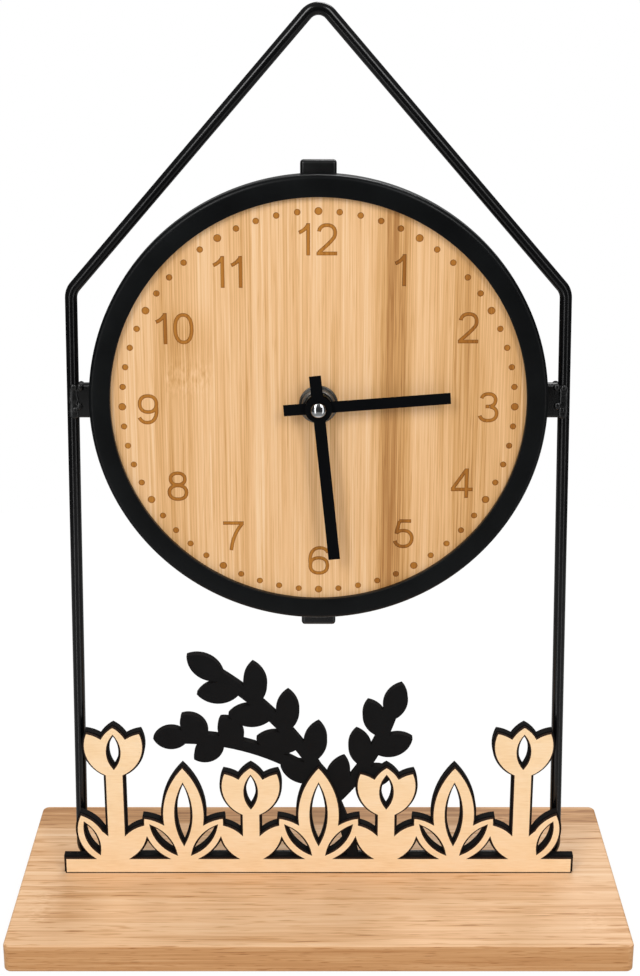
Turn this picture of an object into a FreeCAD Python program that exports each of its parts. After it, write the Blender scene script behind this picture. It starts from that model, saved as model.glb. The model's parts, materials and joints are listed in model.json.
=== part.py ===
"""Desk clock on a house-shaped wire stand, one STEP file per piece.

Millimetres. +X to the viewer's right, +Y to the back, +Z up.
The origin is the centre of the board's underside.
"""
import FreeCAD, Part
import math
import os

Vector = FreeCAD.Vector

# ---------------------------------------------------------------- fits
RUNNING_FIT = 0.06          # radial play of a shaft that turns in a bore
LOOSE_FIT = 0.15            # radial or side play of pieces that are only assembled
FREE_GAP = 0.3              # axial gap between pieces that move past each other
END_SHAKE = 0.1             # axial play of a wheel against its seat
SAME = 1e-6                 # lengths closer than this are equal
CUT_OVER = 1.0              # how far a cutting tool runs past the faces it cuts

# ---------------------------------------------------------------- board
BOARD_WIDTH = 210.0
BOARD_DEPTH = 95.0
BOARD_THICKNESS = 10.0
BOARD_CORNER_R = 2.5        # upright corners
BOARD_EDGE_R = 0.9          # eased top and bottom edges

# ---------------------------------------------------------------- wire frame, centre lines
WIRE_D = 4.0
FRAME_SETBACK = 55.0        # wire plane behind the board's front edge
FRAME_FOOT_WIDTH = 170.0
FRAME_EAVE_WIDTH = 160.0
FRAME_EAVE_HEIGHT = 207.0   # above the lower bar
FRAME_APEX_HEIGHT = 298.0   # where the roof lines would cross, above the lower bar
CORNER_BEND_R = 6.0
APEX_BEND_R = 5.0

# studs welded under the lower bar, bolted from below
STUD_SPACING = 100.0
STUD_D = 3.0
STUD_NUT_FLATS = 5.5
STUD_NUT_T = 2.4
STUD_WASHER_D = 7.0
STUD_WASHER_T = 0.5
STUD_END = 0.4              # thread that shows below the nut
COUNTERBORE_DEPTH = 4.2

# ---------------------------------------------------------------- clock case
CLOCK_HEIGHT = 172.5        # clock centre above the board
RING_D = 150.0
RING_FACE = 7.0             # width of the front face
RING_DEPTH = 5.5
RING_LIP_T = 2.0            # how far the dial lies behind the front
RING_WALL = 2.0
RING_OUTER_R = 1.4          # rounded outer front edge
RING_INNER_R = 0.3
LUG_WIDTH = 11.6
LUG_T = 3.5                 # a little thinner than the wire it is coped to
LUG_EDGE_R = 1.0
LUG_REACH = 15.0            # inwards from the ring's outside
TOP_LUG_OVERHANG = 3.8      # how far they stand out past the ring
BOTTOM_LUG_OVERHANG = 4.7
LUG_SCREW_INSET = 11.0      # screw centre, inwards from the ring's outside
SCREW_D = 2.2
SCREW_LENGTH = 5.6          # under the head
SCREW_HEAD_D = 4.0
SCREW_HEAD_T = 1.3
SCREW_CROSS_L = 2.2
SCREW_CROSS_W = 0.5

# ---------------------------------------------------------------- hands
HUB_D = 8.8
HAND_T = 0.5
HOUR_ANGLE = 85.6           # clockwise from twelve, as seen from the front
HOUR_LENGTH = 43.0
HOUR_TAIL = 11.4
HOUR_WIDTH = 3.7
MINUTE_ANGLE = 174.2
MINUTE_LENGTH = 52.0
MINUTE_TAIL = 11.3
MINUTE_WIDTH = 3.85
HAND_SPACING = 1.4          # clear space between the two hands
CAP_D = 5.0
CAP_RIM_H = 0.5
CAP_DOME_H = 1.3

# ---------------------------------------------------------------- spindle
BUSH_D = 8.0
BUSH_FLANGE_D = 11.0
BUSH_FLANGE_T = 0.8
BUSH_PROUD = 0.5            # in front of the nut
RUBBER_WASHER_D = 18.0
RUBBER_WASHER_T = 0.8
DIAL_WASHER_D = 12.8
DIAL_WASHER_T = 0.6
LOCK_NUT_D = 11.0
LOCK_NUT_T = 2.0
LOCK_NUT_CHAMFER = 0.5
LOCK_NUT_NOTCH_W = 1.6      # spanner notches
LOCK_NUT_NOTCH_DEPTH = 1.0
HOUR_PIPE_D = 5.0
MINUTE_PIPE_D = 3.2
ARBOR_D = 0.8               # plain wheel shafts
HOUR_PIPE_PROUD = 1.8       # in front of the bush
CAP_GRIP = 0.8              # length of the minute pipe inside the cap nut

# ---------------------------------------------------------------- movement case
CASE_SIZE = 56.0
CASE_DEPTH = 16.5
CASE_CORNER_R = 3.0
CASE_WALL = 1.5
CASE_FRONT_T = 1.2
COVER_T = 1.2
BAY_TOP = -11.4             # upper edge of the battery bay, from the spindle
BAY_WALL = 1.0
COVER_LIP_H = 1.5
COVER_LIP_T = 0.8
BOSS_H = 0.6                # bearing bosses stand this far off the case and cover
BOSS_WALL = 0.7
POST_D = 3.0                # posts that carry the gear plate
POST_INSET = 3.0            # post centre, in from the cavity's walls
PLATE_S = 7.4               # gear plate, behind the case's front
PLATE_T = 1.0

CELL_D = 14.5
CELL_LENGTH = 49.3          # without the nub
CELL_NUB_D = 5.4
CELL_NUB_L = 1.2
CELL_EDGE_R = 0.5
CONTACT_T = 0.3
CONTACT_WIDTH = 9.0
CONTACT_HEIGHT = 10.0
CONTACT_BUMP_D = 6.0

# ---------------------------------------------------------------- wheels
TRAIN_MODULE = 0.27
HOUR_PAIR_MODULE = 0.4
CANNON_PAIR_MODULE = 0.5
PINION_TEETH = 8
CANNON_TEETH = 10
SETTING_WHEEL_TEETH = 30
SETTING_PINION_TEETH = 10
HOUR_WHEEL_TEETH = 40
CENTRE_TEETH = 64
THIRD_TEETH = 60
SECONDS_TEETH = 48
INTERMEDIATE_TEETH = 40
WHEEL_T = 0.7
PINION_T = 1.0
SETTING_ARBOR_D = 1.6
KNOB_D = 10.0
KNOB_T = 3.4
KNOB_GROOVES = 24
KNOB_GROOVE_D = 0.7
INTERMEDIATE_ANGLE = 30.0   # direction from the spindle, from +X towards +Z
TOOTH_TIP = 0.85            # tooth sizes as shares of the module
TOOTH_ROOT = 1.25
TOOTH_PITCH_WIDTH = 1.28
TOOTH_TIP_WIDTH = 0.62
TOOTH_FOOT_LIMIT = 0.47     # widest tooth foot on each side, as a share of the tooth spacing

# levels, measured back from the movement's front face
HOUR_WHEEL_S = CASE_FRONT_T + BUSH_FLANGE_T + END_SHAKE
SETTING_WHEEL_S = HOUR_WHEEL_S + PINION_T + 2 * END_SHAKE
CENTRE_WHEEL_S = SETTING_WHEEL_S + PINION_T + FREE_GAP
THIRD_WHEEL_S = CENTRE_WHEEL_S + PINION_T + FREE_GAP
SECONDS_WHEEL_S = PLATE_S + PLATE_T + FREE_GAP
INTERMEDIATE_WHEEL_S = SECONDS_WHEEL_S + PINION_T + FREE_GAP
ROTOR_MAGNET_S = INTERMEDIATE_WHEEL_S + PINION_T + FREE_GAP

# ---------------------------------------------------------------- motor and circuit
ROTOR_MAGNET_D = 5.0
ROTOR_MAGNET_L = 2.0
STATOR_GAP = 0.7
STATOR_T = 0.8
STATOR_EYE_WALL = 1.6
STATOR_RIGHT_X = 24.5
STATOR_LEG_W = 3.0
PILLAR_TOP_Z = 13.5         # upper of the two pillars that carry the stator
COIL_Z = 20.0
COIL_D = 6.4
COIL_TUBE_D = 4.4
COIL_FLANGE_T = 0.6
CIRCUIT_LEFT_X = -25.2
CIRCUIT_RIGHT_X = -13.5
CIRCUIT_LOW_Z = -8.0
CIRCUIT_HIGH_Z = 22.0
CIRCUIT_T = 0.9
STANDOFF_D = 2.0
STANDOFF_H = 0.8
CRYSTAL_D = 2.0
CRYSTAL_L = 6.0

# ---------------------------------------------------------------- ornament
ORNAMENT_SETBACK = 46.4     # front of the wood layer behind the board's front edge
ORNAMENT_WIDTH = 180.0
FACE_T = 1.0
BACKING_T = 3.0
BORDER = 0.5                # black shows this far round the wood
RAIL_H = 6.0
MOTIF_COUNT = 7
MOTIF_HEIGHT = 42.0
TALL_MOTIF_HEIGHT = 57.5
MOTIF_PITCH = 23.8
STEM_W = 6.6
TULIP_HEAD_H = 20.0
PETAL_W = 11.5
SIDE_PETAL_W = 9.8
SIDE_PETAL_LEAN = 28.0      # degrees from upright, as all leans below
STEM_LEAF_L = 19.0
STEM_LEAF_W = 8.2
STEM_LEAF_LEAN = 35.0
FAN_LEAF_W = 15.0
FAN_SIDE_L = 23.0
FAN_SIDE_W = 9.6
FAN_SIDE_LEAN = 38.0
END_LEAF_L = 21.0
END_LEAF_LEAN = 22.0
END_LEAF_INSET = 14.0       # foot of the end leaves, in from the rail's end
LEAF_SINK = 2.0             # how deep leaves and stems start inside what carries them
STEM_TOP = 4.0              # how far a stem runs up into its tulip
SLOT_START = 0.2            # opening in a broad leaf, as shares of the leaf
SLOT_LENGTH = 0.62
SLOT_WIDTH = 0.38
SPRIG_STEM_W = 4.0
SPRIG_LEAF_W = 8.2
SPRIG_LEAF_TURN = 42.0      # leaf's angle from its branch
SPRIG_BRANCHES = (          # three points of each branch as (x, height)
    ((13.0, 2.0), (-7.0, 50.0), (-34.0, 76.0)),
    ((4.0, 27.0), (18.0, 45.0), (25.0, 61.0)),
    ((-2.0, 38.0), (-24.0, 49.0), (-47.0, 52.5)),
)
SPRIG_LEAF_L = (15.5, 14.5, 12.5)       # of each branch, as the next two
SPRIG_LEAF_COUNTS = (9, 5, 4)
SPRIG_BARE_SHARES = (0.35, 0.35, 0.62)  # share of the branch without leaves
TENON_W = 14.0
TENON_DEPTH = 4.0
TENON_SPACING = 60.0

# ---------------------------------------------------------------- worked out from the sizes above
BOARD_FRONT_Y = -BOARD_DEPTH / 2
WIRE_Y = BOARD_FRONT_Y + FRAME_SETBACK
BAR_Z = BOARD_THICKNESS + WIRE_D / 2
CLOCK_Z = BOARD_THICKNESS + CLOCK_HEIGHT
LUG_Y = WIRE_Y - LUG_T / 2
RING_FRONT_Y = LUG_Y - RING_DEPTH
RING_R = RING_D / 2
DIAL_FRONT_Y = RING_FRONT_Y + RING_LIP_T
DIAL_R = RING_R - RING_WALL - LOOSE_FIT
MOVEMENT_Y = LUG_Y + RUBBER_WASHER_T
NUT_FRONT_Y = DIAL_FRONT_Y - DIAL_WASHER_T - LOCK_NUT_T
BUSH_FRONT_Y = NUT_FRONT_Y - BUSH_PROUD
HOUR_PIPE_FRONT_Y = BUSH_FRONT_Y - HOUR_PIPE_PROUD
HOUR_HAND_Y = HOUR_PIPE_FRONT_Y
MINUTE_HAND_Y = HOUR_HAND_Y - HAND_SPACING - HAND_T
HOUR_PIPE_BORE_R = MINUTE_PIPE_D / 2 + RUNNING_FIT
BUSH_BORE_R = HOUR_PIPE_D / 2 + RUNNING_FIT
MINUTE_PIPE_BORE_R = ARBOR_D / 2 + RUNNING_FIT
CAVITY_HALF = CASE_SIZE / 2 - CASE_WALL
CAVITY_LOW_Z = BAY_TOP + BAY_WALL
COVER_S = CASE_DEPTH - COVER_T
BEARING_S = COVER_S - BOSS_H
ORNAMENT_Y = BOARD_FRONT_Y + ORNAMENT_SETBACK
BACKING_Y = ORNAMENT_Y + FACE_T
SETTING_DISTANCE = CANNON_PAIR_MODULE * (CANNON_TEETH + SETTING_WHEEL_TEETH) / 2
THIRD_DISTANCE = TRAIN_MODULE * (PINION_TEETH + THIRD_TEETH) / 2
CENTRE_MODULE = 2 * THIRD_DISTANCE / (PINION_TEETH + CENTRE_TEETH)
INTERMEDIATE_DISTANCE = TRAIN_MODULE * (PINION_TEETH + SECONDS_TEETH) / 2
ROTOR_DISTANCE = TRAIN_MODULE * (PINION_TEETH + INTERMEDIATE_TEETH) / 2

# wheel centres, as (x, z) from the spindle
SETTING_AT = (-SETTING_DISTANCE, 0.0)
THIRD_AT = (0.0, THIRD_DISTANCE)
INTERMEDIATE_AT = (
    INTERMEDIATE_DISTANCE * math.cos(math.radians(INTERMEDIATE_ANGLE)),
    INTERMEDIATE_DISTANCE * math.sin(math.radians(INTERMEDIATE_ANGLE)),
)
ROTOR_AT = (INTERMEDIATE_AT[0] + ROTOR_DISTANCE, INTERMEDIATE_AT[1])

# motor, circuit and cell
CORE_S = ROTOR_MAGNET_S + FREE_GAP
STATOR_S = CORE_S + STATOR_T
STATOR_HOLE_R = ROTOR_MAGNET_D / 2 + STATOR_GAP
STATOR_EYE_R = STATOR_HOLE_R + STATOR_EYE_WALL
STATOR_LEFT_X = ROTOR_AT[0] - STATOR_EYE_R
STATOR_LOW_Z = ROTOR_AT[1] - STATOR_EYE_R
STATOR_HIGH_Z = ROTOR_AT[1] + STATOR_EYE_R
COIL_LEFT_X = STATOR_LEFT_X + STATOR_LEG_W
COIL_RIGHT_X = STATOR_RIGHT_X - STATOR_LEG_W
CIRCUIT_MIDDLE_X = (CIRCUIT_LEFT_X + CIRCUIT_RIGHT_X) / 2
CIRCUIT_S = PLATE_S + PLATE_T + STANDOFF_H
BAY_MIDDLE_Z = (BAY_TOP - CAVITY_HALF) / 2
CELL_S = CASE_FRONT_T + CELL_D / 2


# ---------------------------------------------------------------- helpers
def cylinder_y(radius, front_y, back_y, at=(0.0, 0.0)):
    """Cylinder along Y, centred on the spindle or beside it."""
    base = Vector(at[0], front_y, CLOCK_Z + at[1])
    return Part.makeCylinder(radius, back_y - front_y, base, Vector(0, 1, 0))


def cylinder_s(radius, front_s, back_s, at=(0.0, 0.0)):
    """Cylinder along Y between two levels of the movement."""
    return cylinder_y(radius, MOVEMENT_Y + front_s, MOVEMENT_Y + back_s, at)


def box_s(x_range, z_range, s_range):
    """Box in the movement, from ranges in x, z and level."""
    base = Vector(x_range[0], MOVEMENT_Y + s_range[0], CLOCK_Z + z_range[0])
    size = (x_range[1] - x_range[0], s_range[1] - s_range[0], z_range[1] - z_range[0])
    return Part.makeBox(*size, base)


def extrude_y(edges, front_y, thickness):
    """Closed outline in an XZ plane, given its thickness along Y."""
    face = Part.Face(Part.Wire(edges))
    solid = face.extrude(Vector(0, thickness, 0))
    solid.translate(Vector(0, front_y, 0))
    return solid


def joined(shapes):
    """One solid out of shapes that overlap or share faces."""
    first, rest = shapes[0], shapes[1:]
    return first.fuse(rest).removeSplitter() if rest else first


def upright_edges(shape, x_limit, z_limit):
    """Edges along Y at the corners of a box centred on the spindle."""
    found = []
    for edge in shape.Edges:
        middle = edge.CenterOfMass
        along_y = abs(edge.BoundBox.YLength - edge.Length) < SAME
        at_x = abs(abs(middle.x) - x_limit) < SAME
        at_z = abs(abs(middle.z - CLOCK_Z) - z_limit) < SAME
        if along_y and at_x and at_z:
            found.append(edge)
    return found


def gear(teeth, module, front_s, thickness, at, phase_deg):
    """Spur wheel with straight-sided teeth, one of them centred on phase_deg."""
    pitch_r = module * teeth / 2
    tip_r = pitch_r + TOOTH_TIP * module
    root_r = pitch_r - TOOTH_ROOT * module
    tip_half = TOOTH_TIP_WIDTH * module / (2 * tip_r)
    root_width = TOOTH_PITCH_WIDTH + (TOOTH_PITCH_WIDTH - TOOTH_TIP_WIDTH) * TOOTH_ROOT / TOOTH_TIP
    root_half = min(root_width * module / (2 * root_r), TOOTH_FOOT_LIMIT * 2 * math.pi / teeth)
    points = []
    for index in range(teeth):
        middle = math.radians(phase_deg) + 2 * math.pi * index / teeth
        tooth = ((root_r, -root_half), (tip_r, -tip_half), (tip_r, tip_half), (root_r, root_half))
        for radius, turn in tooth:
            angle = middle + turn
            x = at[0] + radius * math.cos(angle)
            z = at[1] + radius * math.sin(angle)
            points.append(Vector(x, 0, CLOCK_Z + z))
    face = Part.Face(Part.makePolygon(points + points[:1]))
    wheel = face.extrude(Vector(0, thickness, 0))
    wheel.translate(Vector(0, MOVEMENT_Y + front_s, 0))
    return wheel


def facing_phase(teeth, toward_deg):
    """Phase that puts a tooth gap, not a tooth, in the direction toward_deg."""
    return toward_deg + 180.0 / teeth


def hollow(shape, radius, front_s, back_s, at=(0.0, 0.0)):
    """The shape with a round hole along Y between two levels."""
    return shape.cut(cylinder_s(radius, front_s - CUT_OVER, back_s + CUT_OVER, at))


def rounded_loop(points, radii):
    """Closed path of straight runs joined by tangent arcs, from the middle of the last run."""
    count = len(points)
    arcs = []
    for index, corner in enumerate(points):
        before = points[index - 1].sub(corner).normalize()
        after = points[(index + 1) % count].sub(corner).normalize()
        half_angle = before.getAngle(after) / 2
        setback = radii[index] / math.tan(half_angle)
        bisector = before.add(after).normalize()
        centre = corner.add(bisector * (radii[index] / math.sin(half_angle)))
        start = corner.add(before * setback)
        end = corner.add(after * setback)
        middle = centre.sub(bisector * radii[index])
        arcs.append((start, middle, end))
    edges = []
    for index, (start, middle, end) in enumerate(arcs):
        previous_end = arcs[index - 1][2]
        if index == 0:
            previous_end = (arcs[-1][2].add(start)) * 0.5
        edges.append(Part.LineSegment(previous_end, start).toShape())
        edges.append(Part.Arc(start, middle, end).toShape())
    edges.append(Part.LineSegment(arcs[-1][2], (arcs[-1][2].add(arcs[0][0])) * 0.5).toShape())
    return Part.Wire(edges)


# ---------------------------------------------------------------- stand
def stud_positions():
    return [Vector(side * STUD_SPACING / 2, WIRE_Y, 0) for side in (-1, 1)]


def tenon_boxes(play):
    """Three tenons under the ornament, or with play the mortises for them."""
    boxes = []
    for index in (-1, 0, 1):
        base = Vector(index * TENON_SPACING - TENON_W / 2 - play, BACKING_Y - play,
                      BOARD_THICKNESS - TENON_DEPTH - play)
        boxes.append(Part.makeBox(TENON_W + 2 * play, BACKING_T + 2 * play, TENON_DEPTH + play, base))
    return boxes


def make_base_board():
    corner = Vector(-BOARD_WIDTH / 2, BOARD_FRONT_Y, 0)
    board = Part.makeBox(BOARD_WIDTH, BOARD_DEPTH, BOARD_THICKNESS, corner)
    corners = [e for e in board.Edges if e.BoundBox.ZLength > BOARD_THICKNESS / 2]
    board = board.makeFillet(BOARD_CORNER_R, corners)
    rims = [e for e in board.Edges if e.BoundBox.ZLength < SAME]
    board = board.makeFillet(BOARD_EDGE_R, rims)
    for place in stud_positions():
        board = board.cut(Part.makeCylinder(STUD_D / 2 + LOOSE_FIT, BOARD_THICKNESS, place))
        board = board.cut(Part.makeCylinder(STUD_WASHER_D / 2 + FREE_GAP, COUNTERBORE_DEPTH, place))
    for mortise in tenon_boxes(LOOSE_FIT):
        board = board.cut(mortise)
    return board


def frame_path():
    foot = FRAME_FOOT_WIDTH / 2
    eave = FRAME_EAVE_WIDTH / 2
    corners = [
        Vector(foot, WIRE_Y, BAR_Z),
        Vector(eave, WIRE_Y, BAR_Z + FRAME_EAVE_HEIGHT),
        Vector(0, WIRE_Y, BAR_Z + FRAME_APEX_HEIGHT),
        Vector(-eave, WIRE_Y, BAR_Z + FRAME_EAVE_HEIGHT),
        Vector(-foot, WIRE_Y, BAR_Z),
    ]
    radii = [CORNER_BEND_R, CORNER_BEND_R, APEX_BEND_R, CORNER_BEND_R, CORNER_BEND_R]
    return rounded_loop(corners, radii)


def make_wire_frame():
    section = Part.Wire(Part.makeCircle(WIRE_D / 2, Vector(0, WIRE_Y, BAR_Z), Vector(1, 0, 0)))
    return frame_path().makePipeShell([section], True, True)


def make_frame_studs():
    studs = []
    for place in stud_positions():
        foot_z = COUNTERBORE_DEPTH - STUD_WASHER_T - STUD_NUT_T - STUD_END
        stud = Part.makeCylinder(STUD_D / 2, BAR_Z - foot_z, place.add(Vector(0, 0, foot_z)))
        bar_start = place.add(Vector(-STUD_D, 0, BAR_Z))
        studs.append(stud.cut(Part.makeCylinder(WIRE_D / 2, 2 * STUD_D, bar_start, Vector(1, 0, 0))))
    return Part.makeCompound(studs)


def make_stud_washers():
    washers = []
    for place in stud_positions():
        seat = place.add(Vector(0, 0, COUNTERBORE_DEPTH - STUD_WASHER_T))
        ring = Part.makeCylinder(STUD_WASHER_D / 2, STUD_WASHER_T, seat)
        washers.append(ring.cut(Part.makeCylinder(STUD_D / 2 + LOOSE_FIT, STUD_WASHER_T, seat)))
    return Part.makeCompound(washers)


def make_stud_nuts():
    nuts = []
    corner_r = STUD_NUT_FLATS / math.sqrt(3)
    for place in stud_positions():
        base = place.add(Vector(0, 0, COUNTERBORE_DEPTH - STUD_WASHER_T - STUD_NUT_T))
        points = [base.add(Vector(corner_r * math.cos(math.radians(60 * k)),
                                  corner_r * math.sin(math.radians(60 * k)), 0)) for k in range(7)]
        nut = Part.Face(Part.makePolygon(points)).extrude(Vector(0, 0, STUD_NUT_T))
        nuts.append(nut.cut(Part.makeCylinder(STUD_D / 2, STUD_NUT_T, base)))
    return Part.makeCompound(nuts)


# ---------------------------------------------------------------- clock case
def make_clock_ring():
    """Turned ring: a wide front lip and a thin outer wall behind it."""
    inner_r = RING_R - RING_FACE
    seat_r = RING_R - RING_WALL
    profile = Part.makePolygon([
        Vector(inner_r, 0, 0), Vector(RING_R, 0, 0), Vector(RING_R, RING_DEPTH, 0),
        Vector(seat_r, RING_DEPTH, 0), Vector(seat_r, RING_LIP_T, 0), Vector(inner_r, RING_LIP_T, 0),
        Vector(inner_r, 0, 0),
    ])
    ring = Part.Face(profile).revolve(Vector(0, 0, 0), Vector(0, 1, 0), 360)
    ring = Part.makeSolid(ring) if ring.ShapeType == "Shell" else ring
    for edge_r, fillet_r in ((RING_R, RING_OUTER_R), (inner_r, RING_INNER_R)):
        front = [e for e in ring.Edges if max(abs(e.BoundBox.YMin), abs(e.BoundBox.YMax)) < SAME]
        ring = ring.makeFillet(fillet_r, [e for e in front if abs(e.Curve.Radius - edge_r) < SAME])
    ring.translate(Vector(0, RING_FRONT_Y, CLOCK_Z))
    return ring


def lug_plan():
    """The four lugs: name, direction and outer end, from the clock's centre."""
    slope = (FRAME_FOOT_WIDTH - FRAME_EAVE_WIDTH) / 2 / FRAME_EAVE_HEIGHT
    leg_x = FRAME_FOOT_WIDTH / 2 - slope * (CLOCK_Z - BAR_Z)
    return {
        "left_lug": (180.0, leg_x),
        "right_lug": (0.0, leg_x),
        "top_lug": (90.0, RING_R + TOP_LUG_OVERHANG),
        "bottom_lug": (270.0, RING_R + BOTTOM_LUG_OVERHANG),
    }


def screw_positions():
    reach = RING_R - LUG_SCREW_INSET
    angles = [math.radians(angle) for angle, _ in lug_plan().values()]
    return [(reach * math.cos(angle), reach * math.sin(angle)) for angle in angles]


def make_lug(name):
    """Flat strap behind the ring; the side ones are coped to the wire legs."""
    angle, outer = lug_plan()[name]
    inner = RING_R - LUG_REACH
    base = Vector(inner, LUG_Y, CLOCK_Z - LUG_WIDTH / 2)
    lug = Part.makeBox(outer - inner, LUG_T, LUG_WIDTH, base)
    along = [e for e in lug.Edges if e.BoundBox.XLength > (outer - inner) / 2]
    lug = lug.makeFillet(LUG_EDGE_R, along)
    screw_at = (RING_R - LUG_SCREW_INSET, 0.0)
    lug = lug.cut(cylinder_y(SCREW_D / 2 + LOOSE_FIT, LUG_Y - CUT_OVER, LUG_Y + LUG_T + CUT_OVER, screw_at))
    lug.rotate(Vector(0, 0, CLOCK_Z), Vector(0, -1, 0), angle)
    return lug.cut(make_wire_frame()) if name in ("left_lug", "right_lug") else lug


def make_dial_screws():
    screws = []
    head_y = LUG_Y + LUG_T
    for at in screw_positions():
        head = cylinder_y(SCREW_HEAD_D / 2, head_y, head_y + SCREW_HEAD_T, at)
        rim = [e for e in head.Edges if abs(e.CenterOfMass.y - head_y - SCREW_HEAD_T) < SAME]
        head = head.makeFillet(SCREW_HEAD_T / 2, rim)
        shank = cylinder_y(SCREW_D / 2, head_y - SCREW_LENGTH, head_y, at)
        level = head_y - MOVEMENT_Y
        cross = [box_s((at[0] - wide / 2, at[0] + wide / 2), (at[1] - high / 2, at[1] + high / 2),
                       (level + SCREW_HEAD_T / 3, level + SCREW_HEAD_T))
                 for wide, high in ((SCREW_CROSS_L, SCREW_CROSS_W), (SCREW_CROSS_W, SCREW_CROSS_L))]
        screws.append(joined([head, shank]).cut(cross))
    return Part.makeCompound([solid for screw in screws for solid in screw.Solids])


def make_dial():
    dial = cylinder_y(DIAL_R, DIAL_FRONT_Y, LUG_Y)
    dial = dial.cut(cylinder_y(BUSH_D / 2 + LOOSE_FIT, DIAL_FRONT_Y, LUG_Y))
    for at in screw_positions():
        dial = dial.cut(cylinder_y(SCREW_D / 2, LUG_Y + LUG_T - SCREW_LENGTH, LUG_Y, at))
    return dial


# ---------------------------------------------------------------- spindle stack
def make_threaded_bush():
    flange = cylinder_s(BUSH_FLANGE_D / 2, CASE_FRONT_T, CASE_FRONT_T + BUSH_FLANGE_T)
    barrel = cylinder_y(BUSH_D / 2, BUSH_FRONT_Y, MOVEMENT_Y + CASE_FRONT_T)
    bush = joined([flange, barrel])
    return bush.cut(cylinder_y(BUSH_BORE_R, BUSH_FRONT_Y, MOVEMENT_Y + CASE_FRONT_T + BUSH_FLANGE_T))


def make_rubber_washer():
    return cylinder_y(RUBBER_WASHER_D / 2, LUG_Y, MOVEMENT_Y).cut(cylinder_y(BUSH_D / 2, LUG_Y, MOVEMENT_Y))


def make_dial_washer():
    front_y = DIAL_FRONT_Y - DIAL_WASHER_T
    washer = cylinder_y(DIAL_WASHER_D / 2, front_y, DIAL_FRONT_Y)
    rim = [e for e in washer.Edges if abs(e.CenterOfMass.y - front_y) < SAME]
    washer = washer.makeChamfer(DIAL_WASHER_T / 3, rim)
    return washer.cut(cylinder_y(BUSH_D / 2 + LOOSE_FIT, front_y, DIAL_FRONT_Y))


def make_lock_nut():
    back_y = NUT_FRONT_Y + LOCK_NUT_T
    nut = cylinder_y(LOCK_NUT_D / 2, NUT_FRONT_Y, back_y)
    rim = [e for e in nut.Edges if abs(e.CenterOfMass.y - NUT_FRONT_Y) < SAME]
    nut = nut.makeChamfer(LOCK_NUT_CHAMFER, rim)
    nut = nut.cut(cylinder_y(BUSH_D / 2, NUT_FRONT_Y, back_y))
    for side in (-1, 1):
        edge_x = side * (LOCK_NUT_D / 2 - LOCK_NUT_NOTCH_DEPTH / 2)
        base = Vector(edge_x - LOCK_NUT_NOTCH_DEPTH / 2, NUT_FRONT_Y, CLOCK_Z - LOCK_NUT_NOTCH_W / 2)
        nut = nut.cut(Part.makeBox(LOCK_NUT_NOTCH_DEPTH, LOCK_NUT_T / 2, LOCK_NUT_NOTCH_W, base))
    return nut


def hand_blade(front_y, angle, length, tail, width, bore_r):
    """Straight bar with a tail and a round hub, pointing clockwise from twelve."""
    bar = Part.makeBox(width, HAND_T, length + tail, Vector(-width / 2, front_y, CLOCK_Z - tail))
    hand = joined([bar, cylinder_y(HUB_D / 2, front_y, front_y + HAND_T)])
    hand = hand.cut(cylinder_y(bore_r, front_y, front_y + HAND_T))
    hand.rotate(Vector(0, 0, CLOCK_Z), Vector(0, 1, 0), angle)
    return hand


def make_hour_hand():
    bore_r = HOUR_PIPE_D / 2
    return hand_blade(HOUR_HAND_Y, HOUR_ANGLE, HOUR_LENGTH, HOUR_TAIL, HOUR_WIDTH, bore_r)


def make_minute_hand():
    bore_r = MINUTE_PIPE_D / 2
    return hand_blade(MINUTE_HAND_Y, MINUTE_ANGLE, MINUTE_LENGTH, MINUTE_TAIL, MINUTE_WIDTH, bore_r)


def make_cap_nut():
    """Low cylinder with a domed top, blind bore at the back."""
    rim_y = MINUTE_HAND_Y - CAP_RIM_H
    rim = cylinder_y(CAP_D / 2, rim_y, MINUTE_HAND_Y)
    sphere_r = ((CAP_D / 2) ** 2 + CAP_DOME_H ** 2) / (2 * CAP_DOME_H)
    ball = Part.makeSphere(sphere_r, Vector(0, rim_y - CAP_DOME_H + sphere_r, CLOCK_Z))
    dome = ball.common(cylinder_y(CAP_D / 2, rim_y - CAP_DOME_H, rim_y))
    cap = joined([rim, dome])
    return cap.cut(cylinder_y(MINUTE_PIPE_D / 2, MINUTE_HAND_Y - CAP_GRIP, MINUTE_HAND_Y))


def make_hour_wheel():
    toward_setting = 180.0
    wheel = gear(HOUR_WHEEL_TEETH, HOUR_PAIR_MODULE, HOUR_WHEEL_S, PINION_T, (0.0, 0.0),
                 facing_phase(HOUR_WHEEL_TEETH, toward_setting))
    pipe = cylinder_y(HOUR_PIPE_D / 2, HOUR_PIPE_FRONT_Y, MOVEMENT_Y + HOUR_WHEEL_S + PINION_T)
    bore = cylinder_y(HOUR_PIPE_BORE_R, HOUR_PIPE_FRONT_Y, MOVEMENT_Y + HOUR_WHEEL_S + PINION_T)
    return joined([wheel, pipe]).cut(bore)


def make_minute_pipe():
    toward_setting = 180.0
    back_s = CENTRE_WHEEL_S + WHEEL_T + FREE_GAP
    cannon = gear(CANNON_TEETH, CANNON_PAIR_MODULE, SETTING_WHEEL_S, PINION_T, (0.0, 0.0), toward_setting)
    pipe = cylinder_y(MINUTE_PIPE_D / 2, MINUTE_HAND_Y - CAP_GRIP, MOVEMENT_Y + back_s)
    bore = cylinder_y(MINUTE_PIPE_BORE_R, MINUTE_HAND_Y - CAP_GRIP, MOVEMENT_Y + back_s)
    return joined([cannon, pipe]).cut(bore)


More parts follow.
